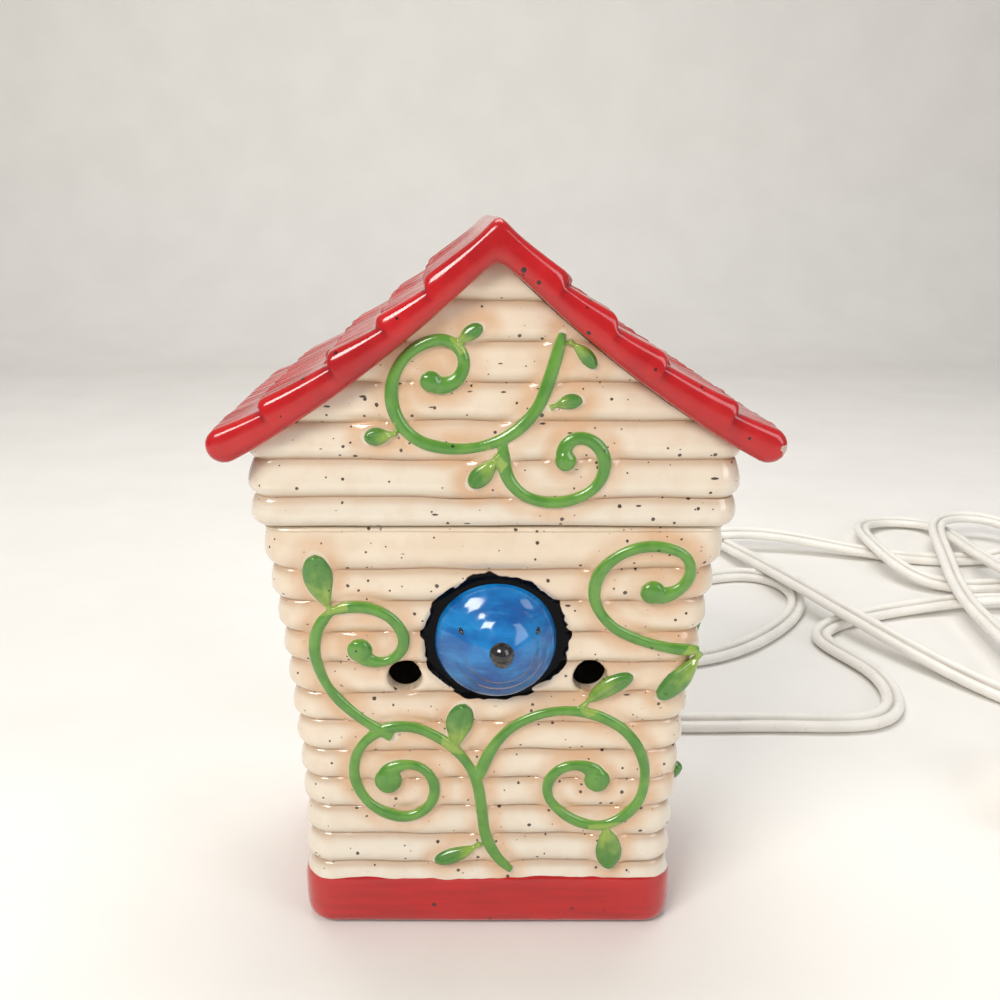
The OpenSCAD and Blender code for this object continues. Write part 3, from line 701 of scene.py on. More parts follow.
# ---------------------------------------------------------------- the lid
def prism(name, outline, front, rear):
    """A solid from an outline in X and Z, stretched along Y."""
    outline = np.array(outline)
    ends = [np.stack([outline[:, 0], np.full(len(outline), y), outline[:, 1]], -1) for y in (rear, front)]
    n = len(outline)
    faces = [grid_faces(2, n), np.arange(n)[None, ::-1], np.arange(n, 2 * n)[None]]
    return new_object(name, np.vstack(ends), faces, smooth=False)


def build_lid():
    columns = round_the_plan(150, 84, 12)
    zero = 0 * columns[:, 0]
    out_dir = np.stack([columns[:, 2], columns[:, 3], zero], -1)
    angle = plan_angle(plan_ring(columns, LID_W, LID_D, CORNER_R, 0), LID_W, LID_D)
    lift = 0.12 + waves(77, angle, [(2, 0.1), (5, 0.07), (9, 0.05)])
    rows = [(RIM_Z + lift * 0 + 0.02, zero - 2.2)]
    rows += [(RIM_Z + lift * k + h, zero + out) for h, out, k in
             ((0.1, -1.5, 1), (0.32, -0.95, 1), (0.7, -0.45, 1), (1.2, -0.05, .8), (1.9, 0.22, .5),
              (2.8, 0.34, .2), (3.8, 0.28, 0), (4.8, 0.05, 0), (5.6, -0.25, 0), (6.1, -0.5, 0))]
    rows += board_rows(columns, LID_GROOVES, LID_GROOVES[-1] + LID_BOARD, LID_W, LID_D, 60)
    base = np.array([plan_ring(columns, LID_W, LID_D, CORNER_R - 1, z) for z, _ in rows])
    outs = np.array([out for _, out in rows])
    flat_points = base.reshape(-1, 3)
    vines = vine_distance(flat_points)
    skin = apply_relief(flat_points, np.tile(out_dir, (len(base), 1)), outs.ravel(), vines, 80)
    lid = new_object("lid_shell", *closed_loft(skin.reshape(base.shape)))
    xs = np.linspace(EAVE_W - 3, -(EAVE_W - 3), 61)
    gable = [[x, float(roof_under(x)) + 0.6] for x in xs]
    outside = prism("outside", [[xs[-1], 90], [xs[0], 90]] + gable, -60, 60)
    wide = LID_W - LID_WALL
    xs = np.linspace(wide, -wide, 41)
    ceiling = [[x, float(roof_under(x)) - LID_WALL] for x in xs]
    inside = prism("inside", [[xs[-1], 90], [xs[0], 90]] + ceiling, LID_WALL - LID_D, LID_D - LID_WALL)
    bevel = inside.modifiers.new("soft", "BEVEL")
    bevel.width, bevel.segments = 2.4 * MM, 4
    bevel.limit_method, bevel.angle_limit = "ANGLE", math.radians(30)
    use_modifiers(inside)
    cut(lid, outside, operation="INTERSECT")
    cut(lid, inside)
    sharp_by_angle(lid, 48)
    points = positions(lid)
    reach = outer_share(points, LID_W, LID_D)
    mark(lid, "groove", groove_wash_and_shade_at(points, LID_GROOVES, LID_W, LID_D, 60) * reach)
    mark(lid, "vine", np.where(reach > 0.5, vine_distance(points), 9.0))
    mark(lid, "outside", reach)
    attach(lid, "lid")
    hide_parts("lid_walls")
    return lid


# ---------------------------------------------------------------- the roof
COURSES = [0, 12.2, 20.5, 31.0, 44.6, 57.2]   # lower edges of the shingle courses, from the ridge
COURSE_STEP = 2.0
END_R = 2.2                                   # how far the fascia's bull nose rounds


def course_relief(x, y, side):
    """Height of the shingles over the roof's mean face, and how deep in a crevice the point is."""
    x = np.abs(x)
    relief, deep = np.zeros_like(x), np.zeros_like(x)
    for k in range(1, len(COURSES)):
        seed = 300 + 20 * k + (side > 0) * 7
        edge_shift = waves(seed, y, [(0.35, 0.45), (0.83, 0.35), (1.9, 0.15)])
        upper_shift = 0 if k == 1 else waves(seed - 20, y, [(0.35, 0.45), (0.83, 0.35), (1.9, 0.15)])
        upper = COURSES[k - 1] + upper_shift
        lower = COURSES[k] + (edge_shift if k < len(COURSES) - 1 else 0)
        f = (x - upper) / (lower - upper)
        inside = (f >= 0) & (f < 1) if k < len(COURSES) - 1 else (f >= 0)
        rounding = np.sqrt(np.clip((lower - x) / 1.5, 0, 1) * (2 - np.clip((lower - x) / 1.5, 0, 1)))
        body = (-0.5 + np.clip(f, 0, 1) * 0.95) * COURSE_STEP
        if k == len(COURSES) - 1:
            rounding = 1.0
            body = (-0.5 + np.clip(f, 0, 1) * 0.75) * COURSE_STEP
        floor = -0.5 * COURSE_STEP
        value = floor + (body - floor) * rounding
        # Shakes: ridges that run down the slope, each course with its own, fading at the ends.
        grain = waves(seed + 3, y, [(1.15, 0.5), (1.9, 0.5), (3.1, 0.35), (4.7, 0.2)])
        split = np.exp(-((((y + 2.3 * k + side * 1.7) / 4.9) % 1 - 0.5) / 0.1) ** 2)
        fade = smoothstep(0, 0.4, f) * (1 - smoothstep(36, 38.5, np.abs(y - 1.5)))
        value = value + (0.22 * grain - 0.42 * split) * fade * (0.35 + 0.65 * np.clip(f, 0, 1))
        relief = np.where(inside, value, relief)
        dark = np.exp(-((x - upper) / 0.9) ** 2) if k > 1 else 0 * x
        deep = np.where(inside, np.maximum(dark, 0.8 * split * fade), deep)
    return relief, deep


def build_roof():
    edges = [0]
    for k in range(1, len(COURSES)):
        a, b = COURSES[k - 1], COURSES[k]
        edges += list(a + (b - a) * np.array([.12, .26, .4, .55, .68, .78, .86, .91, .95, .98, 1.0]))
        if k < len(COURSES) - 1:
            edges += [b + 0.3, b + 0.7]
    spine_end = EAVE_W - 3.3
    xs = np.unique(np.round([x for x in edges if x < spine_end] + [0.7, 1.5, 2.6] + [spine_end], 3))
    xs = np.concatenate([-xs[:0:-1], xs])
    ends = np.radians([0, 14, 28, 42, 56, 70, 82])
    ys = list(ROOF_FRONT + END_R * (1 - np.sin(ends[::-1]))) \
        + list(np.arange(ROOF_FRONT + END_R + 0.7, ROOF_REAR - END_R, 0.7)) \
        + list(ROOF_REAR - END_R * (1 - np.sin(ends)))
    shrinks = list(END_R * (1 - np.cos(ends[::-1]))) + [0] * (len(ys) - 14) + list(END_R * (1 - np.cos(ends)))
    h = 0.01
    slope = (roof_top(xs + h) - roof_top(xs - h)) / 2 / h
    normal = np.stack([-slope, np.ones_like(slope)], -1)
    normal /= np.linalg.norm(normal, axis=1)[:, None]
    share = smoothstep(3, 14, np.abs(xs))[:, None]
    way = np.array([[0, 1]]) * (1 - share) + normal * share
    way /= np.linalg.norm(way, axis=1)[:, None]
    half = ROOF_T / 2 * normal[:, 1] / (normal * way).sum(1)
    spine = np.stack([xs, roof_top(xs) - ROOF_T / 2], -1)
    rings, deeps = [], []
    for y, shrink in zip(ys, shrinks):
        at_y = np.full_like(xs, y)
        halves = [course_relief(xs, at_y, side) for side in (-1, 1)]
        relief, deep = (np.where(xs < 0, a, b) for a, b in zip(*halves))
        ridge_cap = 1 - smoothstep(0.5, 5, np.abs(xs))
        relief = relief * (1 - ridge_cap) + 0.1 * ridge_cap
        droop = 0.25 * math.sin(y / 17 + 0.6) + 0.15 * math.sin(y / 7)
        top_h = half + relief * (1 - 0.8 * shrink / END_R) + droop * 0.4 - shrink
        low_h = half - shrink
        top = spine + way * top_h[:, None]
        low = spine - way * low_h[:, None]
        tips = []
        for end, sign in ((-1, 1), (0, -1)):
            # A rounded tip: a half ellipse from the upper face round to the lower one.
            c = spine[end]
            along = np.array([way[end][1], -way[end][0]]) * sign
            if end == 0:
                along = -np.array([way[end][1], -way[end][0]])
            a = np.radians(np.arange(15, 180, 15))
            bulge = ((EAVE_W - spine_end) * 1.12 - shrink * 0.9 + 0.12 * math.sin(y / 4.3)
                     + 0.1 * math.sin(y / 1.7))
            up, down = top_h[end], low_h[end]
            height = np.where(np.cos(a) > 0, up, down) * np.cos(a)
            tip = c + along * (bulge * np.sin(a))[:, None] + way[end] * height[:, None]
            tips.append(tip if end == -1 else tip[::-1])
        outline = np.vstack([top, tips[0], low[::-1], tips[1]])
        rings.append(np.stack([outline[:, 0], np.full(len(outline), y), outline[:, 1]], -1))
        deeps.append(np.concatenate([deep, np.zeros(len(tips[0]) + len(low) + len(tips[1]))]))
    rings = np.array(rings)
    n, t = len(xs), len(tips[0])
    count, columns = rings.shape[:2]
    faces = [grid_faces(count, columns)[:, ::-1]]
    # Each end is closed by a strip between the upper and the lower face.
    for start, flip in ((0, 1), ((count - 1) * columns, -1)):
        top_i, low_i = start + np.arange(n), start + n + t + np.arange(n)[::-1]
        strip = np.stack([top_i[:-1], low_i[:-1], low_i[1:], top_i[1:]], -1)
        right = np.concatenate([[top_i[-1]], start + n + np.arange(t), [low_i[-1]]])
        left = np.concatenate([[low_i[0]], start + 2 * n + t + np.arange(t), [top_i[0]]])
        for part in (strip, right[None], left[None]):
            faces.append(part[:, ::flip] if flip == 1 else part[:, ::-1])
    roof = new_object("roof_shell", rings.reshape(-1, 3), faces)
    bm = bmesh.new()
    bm.from_mesh(roof.data)
    bmesh.ops.recalc_face_normals(bm, faces=bm.faces)
    bm.to_mesh(roof.data)
    bm.free()
    points = positions(roof)
    mark(roof, "deep", np.concatenate(deeps))
    points[:, 2] += 0.1 * bumps(90, points, 11)
    move_to(roof, points)
    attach(roof, "lid")
    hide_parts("roof")
    return roof


# ---------------------------------------------------------------- the bird
BEAK = np.array([1.6, -42.0, 73.5])
EYES = ((-6.7, 77.3), (9.2, 77.3))


def ball(centre, half_sizes, rows=24, columns=36, way=(0, -1, 0)):
    """Points and faces of an ellipsoid whose pole points along way."""
    t = np.linspace(0.001, math.pi - 0.001, rows)
    a = np.linspace(0, 2 * math.pi, columns, endpoint=False)
    unit = np.stack([np.sin(t)[:, None] * np.cos(a), np.sin(t)[:, None] * np.sin(a),
                     -np.cos(t)[:, None] * np.ones_like(a)], -1)
    turn = np.array(Vector((0, 0, 1)).rotation_difference(Vector(way)).to_matrix())
    rings = unit * np.array(half_sizes) @ turn.T + np.array(centre)
    return closed_loft(rings)


def build_bird():
    points, faces = ball(BIRD, (BIRD_R,) * 3, rows=110, columns=150)
    head = new_object("bird_skin", points, faces)
    ways = points - BIRD
    ways /= np.linalg.norm(ways, axis=1)[:, None]
    to_beak = (BEAK - BIRD) / np.linalg.norm(BEAK - BIRD)
    away = np.degrees(np.arccos(np.clip(ways @ to_beak, -1, 1)))
    roll = np.arctan2(ways[:, 2] - to_beak[2], ways[:, 0] - to_beak[0])
    under = np.clip(-np.sin(roll), 0, 1) ** 0.7
    radius = BIRD_R + 5.2 * np.exp(-(away / 27) ** 1.5) - 0.8 * np.exp(-((away - 50) / 16) ** 2)
    folds = 0.5 * np.sin(away / 3.4 + 0.5) * np.exp(-((away - 33) / 13) ** 2)
    radius += folds * (0.2 + 0.8 * under) + 0.1 * bumps(91, points, 7)
    points = BIRD + ways * radius[:, None] * [1, BIRD_DEPTH, 1]
    points[:, 1] = np.minimum(points[:, 1], BIRD_BACK)
    move_to(head, points)
    beak_parts = []
    for shift, sizes in ((np.array([0, 3.6, 0.35]), (2.9, 3.0, 3.6)),
                         (np.array([0, 3.9, -0.95]), (2.4, 2.35, 3.1))):
        beak_parts.append(ball(BEAK + shift, sizes))
    beak = new_object("beak", *joined(beak_parts))
    remeshed(beak, 0.18, 3)
    b = positions(beak)
    b[:, 2] += 0.12 * bumps(92, b, 2.5)
    groove = np.exp(-((b[:, 2] - BEAK[2] + 0.55) / 0.22) ** 2) * smoothstep(-36.5, -39.5, b[:, 1])
    b[:, 1] += 0.3 * groove
    b[:, 1] = np.maximum(b[:, 1], -42.0)
    move_to(beak, b)
    eyes = []
    for x, z in EYES:
        front = points[points[:, 1] < BIRD[1]]
        seat = front[np.argmin(np.hypot(front[:, 0] - x, front[:, 2] - z))]
        out = (seat - BIRD) / np.linalg.norm(seat - BIRD)
        eyes.append(ball(seat, (0.5, 0.9, 0.4), 12, 18, tuple(out)))
    eye_beads = new_object("eye_beads", *joined(eyes))
    for piece in (head, beak, eye_beads):
        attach(piece, "house")
    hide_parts("bird_head")
    return head, beak, eye_beads


# ---------------------------------------------------------------- materials
class Paint:
    """A node material under construction, ending in one Principled shader."""

    def __init__(self, name, **values):
        self.material = bpy.data.materials.new(name)
        self.material.use_nodes = True
        self.tree = self.material.node_tree
        self.shader = self.tree.nodes["Principled BSDF"]
        for key, value in values.items():
            self.shader.inputs[key.replace("_", " ")].default_value = value
        self.spot = self.add("ShaderNodeTexCoord").outputs["Object"]

    def add(self, kind, **settings):
        node = self.tree.nodes.new(kind)
        for key, value in settings.items():
            setattr(node, key, value)
        return node

    def link(self, value, socket):
        self.tree.links.new(value, socket)

    def feed(self, socket, value):
        if isinstance(value, bpy.types.NodeSocket):
            self.link(value, socket)
        elif socket.type == "RGBA":
            socket.default_value = (*value, 1)
        else:
            socket.default_value = value

    def math(self, operation, a, b=0.0, clamp=False):
        node = self.add("ShaderNodeMath", operation=operation, use_clamp=clamp)
        self.feed(node.inputs[0], a)
        self.feed(node.inputs[1], b)
        return node.outputs[0]

    def times(self, a, b):
        return self.math("MULTIPLY", a, b)

    def ramp(self, value, low, high, to_low=0.0, to_high=1.0):
        node = self.add("ShaderNodeMapRange", interpolation_type="SMOOTHSTEP")
        for socket, v in zip(node.inputs, (value, low, high, to_low, to_high)):
            self.feed(socket, v)
        return node.outputs[0]

    def mix(self, share, a, b, blend="MIX"):
        node = self.add("ShaderNodeMix", data_type="RGBA", blend_type=blend)
        self.feed(node.inputs["Factor"], share)
        self.feed(node.inputs[6], a)
        self.feed(node.inputs[7], b)
        return node.outputs[2]

    def where(self, scale=(1, 1, 1), move=(0, 0, 0)):
        node = self.add("ShaderNodeMapping")
        node.inputs["Scale"].default_value = scale
        node.inputs["Location"].default_value = move
        self.link(self.spot, node.inputs["Vector"])
        return node.outputs[0]

    def noise(self, size_mm, detail=3.0, scale=(1, 1, 1), move=(0, 0, 0), rough=0.5):
        node = self.add("ShaderNodeTexNoise")
        node.inputs["Scale"].default_value = 1 / (size_mm * MM)
        node.inputs["Detail"].default_value = detail
        node.inputs["Roughness"].default_value = rough
        self.link(self.where(scale, move), node.inputs["Vector"])
        return node.outputs["Fac"]

    def attribute(self, name):
        return self.add("ShaderNodeAttribute", attribute_name=name).outputs["Fac"]

    def axis(self, which):
        node = self.add("ShaderNodeSeparateXYZ")
        self.link(self.spot, node.inputs[0])
        return self.times(node.outputs[which], 1 / MM)

    def specks(self, cell_mm, smallest, largest, move=(0, 0, 0), scale=(1, 1, 1), some=1.0):
        """1 inside scattered round specks of random size, 0 outside."""
        bent = self.add("ShaderNodeVectorMath", operation="ADD")
        wobble = self.add("ShaderNodeTexNoise")
        wobble.inputs["Scale"].default_value = 1 / (0.5 * MM)
        self.link(self.spot, wobble.inputs["Vector"])
        small = self.add("ShaderNodeVectorMath", operation="SCALE")
        self.link(wobble.outputs["Color"], small.inputs[0])
        small.inputs["Scale"].default_value = 0.28 * MM
        self.link(self.where(scale, move), bent.inputs[0])
        self.link(small.outputs[0], bent.inputs[1])
        cells = self.add("ShaderNodeTexVoronoi")
        cells.inputs["Scale"].default_value = 1 / (cell_mm * MM)
        self.link(bent.outputs[0], cells.inputs["Vector"])
        split = self.add("ShaderNodeSeparateColor")
        self.link(cells.outputs["Color"], split.inputs[0])
        cubed = self.math("POWER", split.outputs[0], 2.5)
        size = self.math("MULTIPLY_ADD", cubed, (largest - smallest) / cell_mm)
        self.tree.nodes[-1].inputs[2].default_value = smallest / cell_mm
        inside = self.ramp(self.math("SUBTRACT", cells.outputs["Distance"], size), -0.02, 0.02, 1, 0)
        if some < 1:
            inside = self.times(inside, self.math("LESS_THAN", split.outputs[1], some))
        return inside

    def bump(self, height, strength, distance_mm):
        node = self.add("ShaderNodeBump")
        node.inputs["Strength"].default_value = strength
        node.inputs["Distance"].default_value = distance_mm * MM
        self.link(height, node.inputs["Height"])
        self.link(node.outputs[0], self.shader.inputs["Normal"])

    def colour(self, value):
        self.feed(self.shader.inputs["Base Color"], value)

    def rough(self, value):
        self.feed(self.shader.inputs["Roughness"], value)


def glaze(name, **extra):
    return Paint(name, **{"Coat_Weight": 0.6, "Coat_Roughness": 0.05, "IOR": 1.5, **extra})


SPECK = (0.035, 0.018, 0.012)


def cream_glaze(name, body):
    p = glaze(name)
    x, y, z = p.axis(0), p.axis(1), p.axis(2)
    cloud = p.noise(26, 2)
    fine = p.noise(4.5, 4, move=(0.3, 0, 0))
    warm = p.mix(p.ramp(cloud, 0.3, 0.7), (0.73, 0.625, 0.49), (0.70, 0.575, 0.435))
    low, high = (8, 62) if body else (90, 130)
    pale = (0.70, 0.635, 0.53)
    colour = p.mix(p.ramp(z, low, high), pale, warm)
    colour = p.mix(p.ramp(fine, 0.42, 0.66, 0, 0.22), colour, (0.62, 0.44, 0.30))
    groove = p.attribute("groove")
    vine = p.attribute("vine")
    # Tan wash that pooled in the grooves and beside the vines; in the grooves it is partly painted shade
    # under each board's lip.
    colour = p.mix(p.times(p.ramp(groove, 0.05, 1.0), 0.55), colour, (0.42, 0.25, 0.14))
    blush = p.times(p.ramp(vine, -0.3, 0.3), p.ramp(vine, 4.6, 0.8))
    blush = p.times(blush, p.ramp(p.noise(9, 3, move=(0.1, 0.2, 0)), 0.32, 0.62, 0.35, 0.8))
    colour = p.mix(blush, colour, (0.60, 0.36, 0.20))
    dark = p.specks(2.3, 0.15, 0.46)
    dashes = p.specks(3.8, 0.1, 0.45, move=(0.2, 0.1, 0.3), scale=(0.55, 1, 1.6), some=0.5)
    spots = p.math("MAXIMUM", dark, dashes)
    colour = p.mix(p.times(spots, 0.93), colour, SPECK)
    rough = p.ramp(p.noise(3.2, 2), 0.3, 0.7, 0.13, 0.23)
    if body:
        # The black ground round the bird, ragged where the brush met the boards.
        dx = p.math("DIVIDE", p.math("SUBTRACT", x, float(PATCH[0])), PATCH_W)
        dz = p.math("DIVIDE", p.math("SUBTRACT", z, float(PATCH[1])), PATCH_H)
        out = p.math("SQRT", p.math("ADD", p.times(dx, dx), p.times(dz, dz)))
        ragged = p.ramp(p.noise(4.5, 1.5), 0.25, 0.75, -0.04, 0.04)
        ragged = p.math("ADD", ragged, p.times(groove, -0.05))
        black = p.ramp(p.math("ADD", out, ragged), 0.985, 1.0, 1, 0)
        black = p.times(black, p.math("LESS_THAN", y, -20))
        colour = p.mix(black, colour, (0.002, 0.002, 0.003))
        p.feed(p.shader.inputs["Coat Weight"], p.times(p.math("SUBTRACT", 1.0, black), 0.6))
        p.feed(p.shader.inputs["Metallic"], p.times(black, 0.8))
        # The red band, brushed on freehand.
        edge = p.ramp(p.noise(11, 2, scale=(1, 1, 0.2)), 0.2, 0.8, 12.35, 13.35)
        red = p.ramp(p.math("SUBTRACT", z, edge), -0.06, 0.06, 1, 0)
        red = p.times(red, p.attribute("outside"))
        streak = p.noise(2.0, 4, scale=(0.12, 0.12, 1.3))
        band = p.mix(p.ramp(streak, 0.35, 0.7), (0.46, 0.002, 0.003), (0.37, 0.001, 0.002))
        dots = p.times(p.specks(4.6, 0.15, 0.6, move=(0.5, 0, 0)), 0.9)
        band = p.mix(dots, band, (0.05, 0.003, 0.004))
        colour = p.mix(red, colour, band)
    p.colour(colour)
    p.rough(rough)
    p.bump(p.math("ADD", p.noise(1.7, 3), p.times(spots, -0.5)), 0.22, 0.12)
    return p.material


def red_glaze():
    p = glaze("red_glaze", Coat_Weight=0.35)
    deep = p.attribute("deep")
    cloud = p.noise(14, 3)
    colour = p.mix(p.ramp(cloud, 0.3, 0.7), (0.46, 0.004, 0.006), (0.36, 0.002, 0.004))
    brushed = p.noise(3, 4, scale=(0.6, 0.12, 0.6))
    colour = p.mix(p.ramp(brushed, 0.45, 0.75, 0, 0.4), colour, (0.56, 0.012, 0.014))
    colour = p.mix(p.times(deep, 0.6), colour, (0.13, 0.003, 0.006))
    colour = p.mix(p.specks(3.2, 0.15, 0.55, move=(0.2, 0.4, 0)), colour, (0.02, 0.004, 0.004))
    # A chip at the right eave shows the pale clay.
    apart = p.add("ShaderNodeVectorMath", operation="DISTANCE")
    p.link(p.spot, apart.inputs[0])
    apart.inputs[1].default_value = (0.0563, -0.0385, 0.1163)
    ragged = p.ramp(p.noise(0.9, 3), 0.2, 0.8, -0.4, 0.4)
    away = p.math("ADD", p.times(apart.outputs["Value"], 1 / MM), ragged)
    chip = p.ramp(away, 1.25, 1.4, 1, 0)
    clay = p.mix(p.ramp(p.noise(0.7), 0.4, 0.6), (0.62, 0.50, 0.42), (0.42, 0.30, 0.25))
    colour = p.mix(chip, colour, clay)
    p.colour(colour)
    p.rough(p.ramp(p.noise(4, 2), 0.3, 0.7, 0.12, 0.24))
    p.bump(p.noise(2.2, 3), 0.25, 0.15)
    return p.material


def green_glaze():
    p = glaze("green_glaze")
    leaf, edge = p.attribute("leaf"), p.attribute("edge")
    stem = p.mix(p.ramp(p.noise(5, 3), 0.3, 0.7), (0.065, 0.215, 0.024), (0.115, 0.29, 0.036))
    colour = p.mix(p.ramp(edge, 0.35, 0.0, 0, 0.75), stem, (0.25, 0.38, 0.06))
    painted = p.mix(p.ramp(p.math("ADD", leaf, p.ramp(p.noise(3, 3), 0.2, 0.8, -0.22, 0.22)), 0.15, 0.75),
                    (0.24, 0.36, 0.055), (0.06, 0.2, 0.025))
    colour = p.mix(p.ramp(leaf, 0.0, 0.03), colour, painted)
    colour = p.mix(p.specks(4.2, 0.12, 0.42, move=(0.1, 0.7, 0)), colour, (0.02, 0.03, 0.01))
    p.colour(colour)
    p.rough(p.ramp(p.noise(2.5, 2), 0.3, 0.7, 0.14, 0.26))
    p.bump(p.noise(1.3, 3), 0.2, 0.1)
    return p.material


def blue_glaze():
    p = glaze("blue_glaze", Coat_Weight=0.3)
    swirl = p.noise(7, 4, scale=(1, 0.5, 1.4))
    colour = p.mix(p.ramp(swirl, 0.3, 0.72), (0.003, 0.075, 0.30), (0.008, 0.20, 0.52))
    # Painted shade: below 75 mm the head turns a darker blue, more so lower down.
    colour = p.mix(p.ramp(p.axis(2), 75, 62, 0, 0.55), colour, (0.002, 0.05, 0.20))
    stroke = p.noise(1.6, 3, scale=(0.3, 0.3, 1.4), move=(0, 0.3, 0))
    colour = p.mix(p.ramp(stroke, 0.5, 0.8, 0, 0.4), colour, (0.03, 0.30, 0.66))
    colour = p.mix(p.specks(5, 0.1, 0.3), colour, (0.004, 0.02, 0.06))
    p.colour(colour)
    p.rough(p.ramp(p.noise(3, 2), 0.3, 0.7, 0.1, 0.2))
    p.bump(p.noise(1.5, 3), 0.18, 0.1)
    return p.material


def black_glaze():
    p = glaze("black_glaze")
    p.colour(p.mix(p.ramp(p.noise(1.2, 3), 0.4, 0.7), (0.006, 0.005, 0.006), (0.022, 0.019, 0.021)))
    p.rough(p.ramp(p.noise(1.5, 2), 0.3, 0.7, 0.12, 0.3))
    p.bump(p.noise(0.8, 3), 0.3, 0.1)
    return p.material


def plain_glaze(name, low, high, rough=(0.12, 0.25), speckled=True):
    p = glaze(name)
    colour = p.mix(p.ramp(p.noise(9, 3), 0.3, 0.7), low, high)
    if speckled:
        colour = p.mix(p.specks(4.5, 0.1, 0.4), colour, SPECK)
    p.colour(colour)
    p.rough(p.ramp(p.noise(2.5, 3), 0.3, 0.7, *rough))
    p.bump(p.noise(1.5, 3), 0.2, 0.1)
    return p.material


def metal(name, low, high, rough, grain=(1, 1, 1), size=1.2):
    p = Paint(name, Metallic=1.0)
    p.colour(p.mix(p.ramp(p.noise(3.5, 4), 0.3, 0.75), low, high))
    p.rough(p.ramp(p.noise(size, 4, scale=grain), 0.25, 0.75, *rough))
    p.bump(p.noise(size * 0.6, 3, scale=grain), 0.12, 0.05)
    return p.material


def plastic(name, low, high, rough, grain_mm=0.6, shade_the_web=False):
    p = Paint(name, IOR=1.46)
    colour = p.mix(p.ramp(p.noise(12, 3), 0.3, 0.7), low, high)
    scuff = p.ramp(p.noise(2.2, 5, scale=(1, 1, 0.4)), 0.62, 0.78, 0, 0.35)
    colour = p.mix(scuff, colour, tuple(c * 0.72 for c in low))
    if shade_the_web:
        # Painted shade along the groove between the two cores, stronger in some stretches.
        web_shade = p.times(p.attribute("web"), p.ramp(p.noise(18, 3), 0.3, 0.7, 0.45, 0.8))
        colour = p.mix(web_shade, colour, (0.30, 0.25, 0.19))
    p.colour(colour)
    p.rough(p.ramp(p.noise(1.6, 3), 0.25, 0.75, *rough))
    p.bump(p.noise(grain_mm, 3), 0.22, 0.06)
    return p.material


def clear_glass():
    p = Paint("bulb_clear", Transmission_Weight=1.0, IOR=1.45)
    p.colour(p.mix(p.ramp(p.noise(6, 2), 0.3, 0.7), (0.97, 0.98, 0.96), (0.9, 0.92, 0.9)))
    p.rough(p.ramp(p.noise(3, 3), 0.3, 0.8, 0.01, 0.06))
    p.bump(p.noise(5, 2), 0.06, 0.2)
    return p.material


def floor_paint():
    p = Paint("floor_paint")
    p.colour(p.mix(p.ramp(p.noise(60, 4), 0.3, 0.7), (0.78, 0.755, 0.71), (0.81, 0.785, 0.74)))
    p.rough(p.ramp(p.noise(8, 3), 0.3, 0.7, 0.55, 0.7))
    return p.material


def dress(obj, material):
    obj.data.materials.clear()
    obj.data.materials.append(material)


# ---------------------------------------------------------------- put it together
body_shell = build_body()
lid_shell = build_lid()
roof_shell = build_roof()
bird_skin, beak, eye_beads = build_bird()
front_sprigs = build_vines("front_sprigs", [FRONT], BODY_STEMS, BODY_LEAVES, "front_vines")
side_sprigs = build_vines("side_sprigs", [LEFT, RIGHT], SIDE_STEMS, SIDE_LEAVES, "side_vines")
gable_sprigs = build_vines("gable_sprigs", [GABLE], GABLE_STEMS, GABLE_LEAVES, "gable_vines")

dress(body_shell, cream_glaze("body_cream", True))
dress(lid_shell, cream_glaze("lid_cream", False))
dress(roof_shell, red_glaze())
green = green_glaze()
for sprigs in (front_sprigs, side_sprigs, gable_sprigs):
    dress(sprigs, green)
dress(bird_skin, blue_glaze())
black = black_glaze()
dress(beak, black)
dress(eye_beads, black)
cord_white = plastic("cord_vinyl", (0.82, 0.79, 0.73), (0.77, 0.74, 0.68), (0.26, 0.42), shade_the_web=True)
dress(flat_cord, cord_white)
switch_white = plastic("switch_plastic", (0.68, 0.65, 0.59), (0.63, 0.60, 0.54), (0.28, 0.42), 0.9)
brass = metal("brass_metal", (0.62, 0.42, 0.14), (0.45, 0.27, 0.08), (0.18, 0.42))
steel = metal("steel_metal", (0.55, 0.55, 0.56), (0.40, 0.40, 0.42), (0.22, 0.45), grain=(0.15, 1, 1))
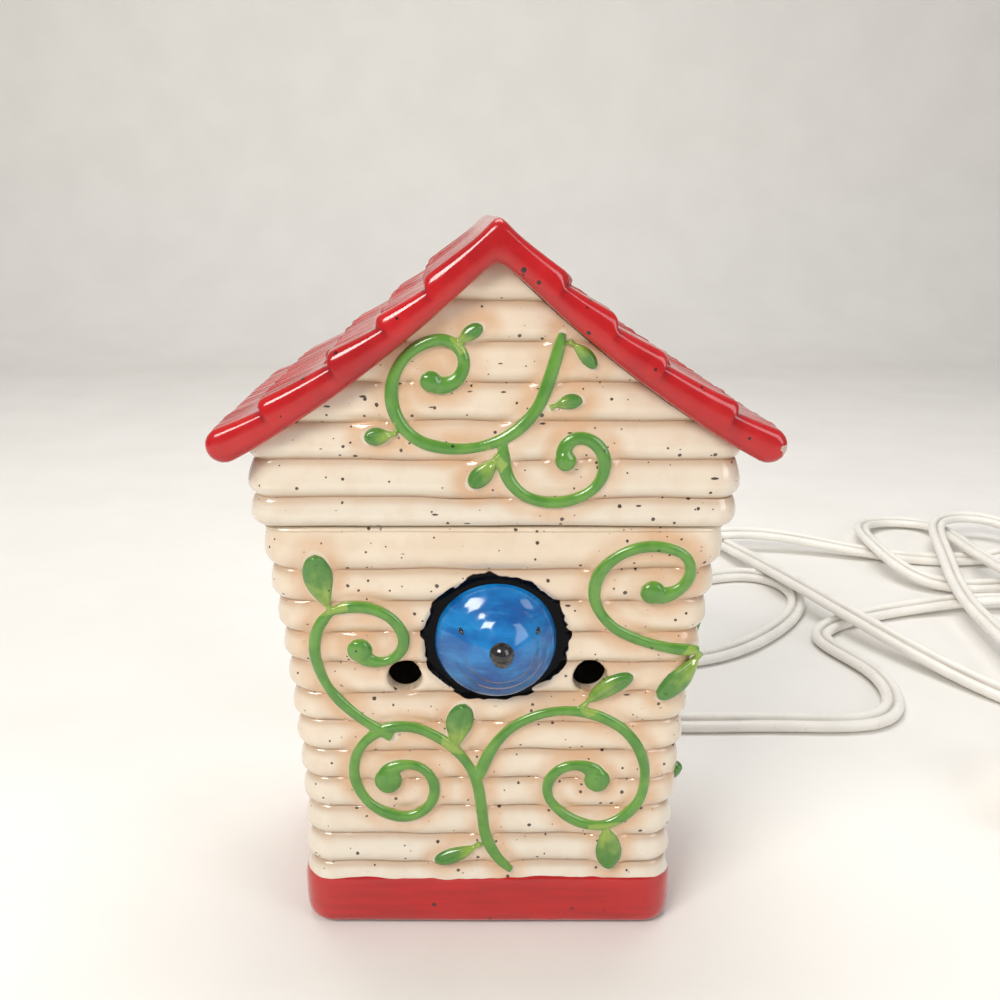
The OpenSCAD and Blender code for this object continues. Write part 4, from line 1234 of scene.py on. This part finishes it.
BY_SLOT = {
    "glaze_dish": plain_glaze("dish_glaze", (0.78, 0.74, 0.66), (0.72, 0.67, 0.58)),
    "porcelain": plain_glaze("porcelain_glaze", (0.80, 0.79, 0.75), (0.74, 0.73, 0.69), (0.2, 0.35), False),
    "bulb_glass": clear_glass(), "brass": brass, "steel": steel, "cord_white": switch_white,
    "rubber_black": plastic("rubber", (0.02, 0.02, 0.021), (0.035, 0.034, 0.033), (0.6, 0.8), 0.4),
    "wire_cover": plastic("wire_vinyl", (0.02, 0.02, 0.022), (0.03, 0.03, 0.03), (0.35, 0.5)),
}
for part in frame["record"]["subparts"]:
    if part["material_slot"] in BY_SLOT:
        dress(NODES[part["node"]], BY_SLOT[part["material_slot"]])


# ---------------------------------------------------------------- studio
def build_stage():
    a = np.radians(np.linspace(0, 90, 24))
    bend, wall_y = 250, 1100
    curve = [(wall_y - bend + bend * math.sin(t), bend - bend * math.cos(t)) for t in a]
    profile = [(-1500, 0), (-300, 0), (300, 0)] + curve + [(wall_y, 2200)]
    xs = np.linspace(-2600, 2600, 9)
    points = np.array([[(x, y, z) for x in xs] for y, z in profile])
    floor = new_object("floor", points.reshape(-1, 3), [grid_faces(len(profile), len(xs), wrap=False)])
    dress(floor, floor_paint())


def lamp(name, place, target, size, watts, colour=(1, 1, 1)):
    data = bpy.data.lights.new(name, "AREA")
    data.shape, data.size, data.size_y = "RECTANGLE", size[0], size[1]
    data.energy, data.color = watts, colour
    obj = bpy.data.objects.new(name, data)
    obj.location = place
    obj.rotation_euler = (Vector(target) - Vector(place)).to_track_quat("-Z", "Y").to_euler()
    bpy.context.scene.collection.objects.link(obj)


build_stage()
lamp("key", (-0.55, -0.75, 0.85), (0, 0, 0.08), (0.55, 0.4), 11, (1, 0.965, 0.92))
lamp("fill", (0.8, -0.6, 0.5), (0, 0, 0.08), (0.5, 0.7), 3.5, (0.95, 0.97, 1))
lamp("top", (0.0, 0.25, 1.0), (0, 0, 0.1), (0.8, 0.5), 6)
world = bpy.data.worlds.new("studio")
world.use_nodes = True
world.node_tree.nodes["Background"].inputs["Color"].default_value = (0.95, 0.97, 1, 1)
world.node_tree.nodes["Background"].inputs["Strength"].default_value = 0.32
bpy.context.scene.world = world
bpy.context.scene.view_settings.view_transform = "Standard"
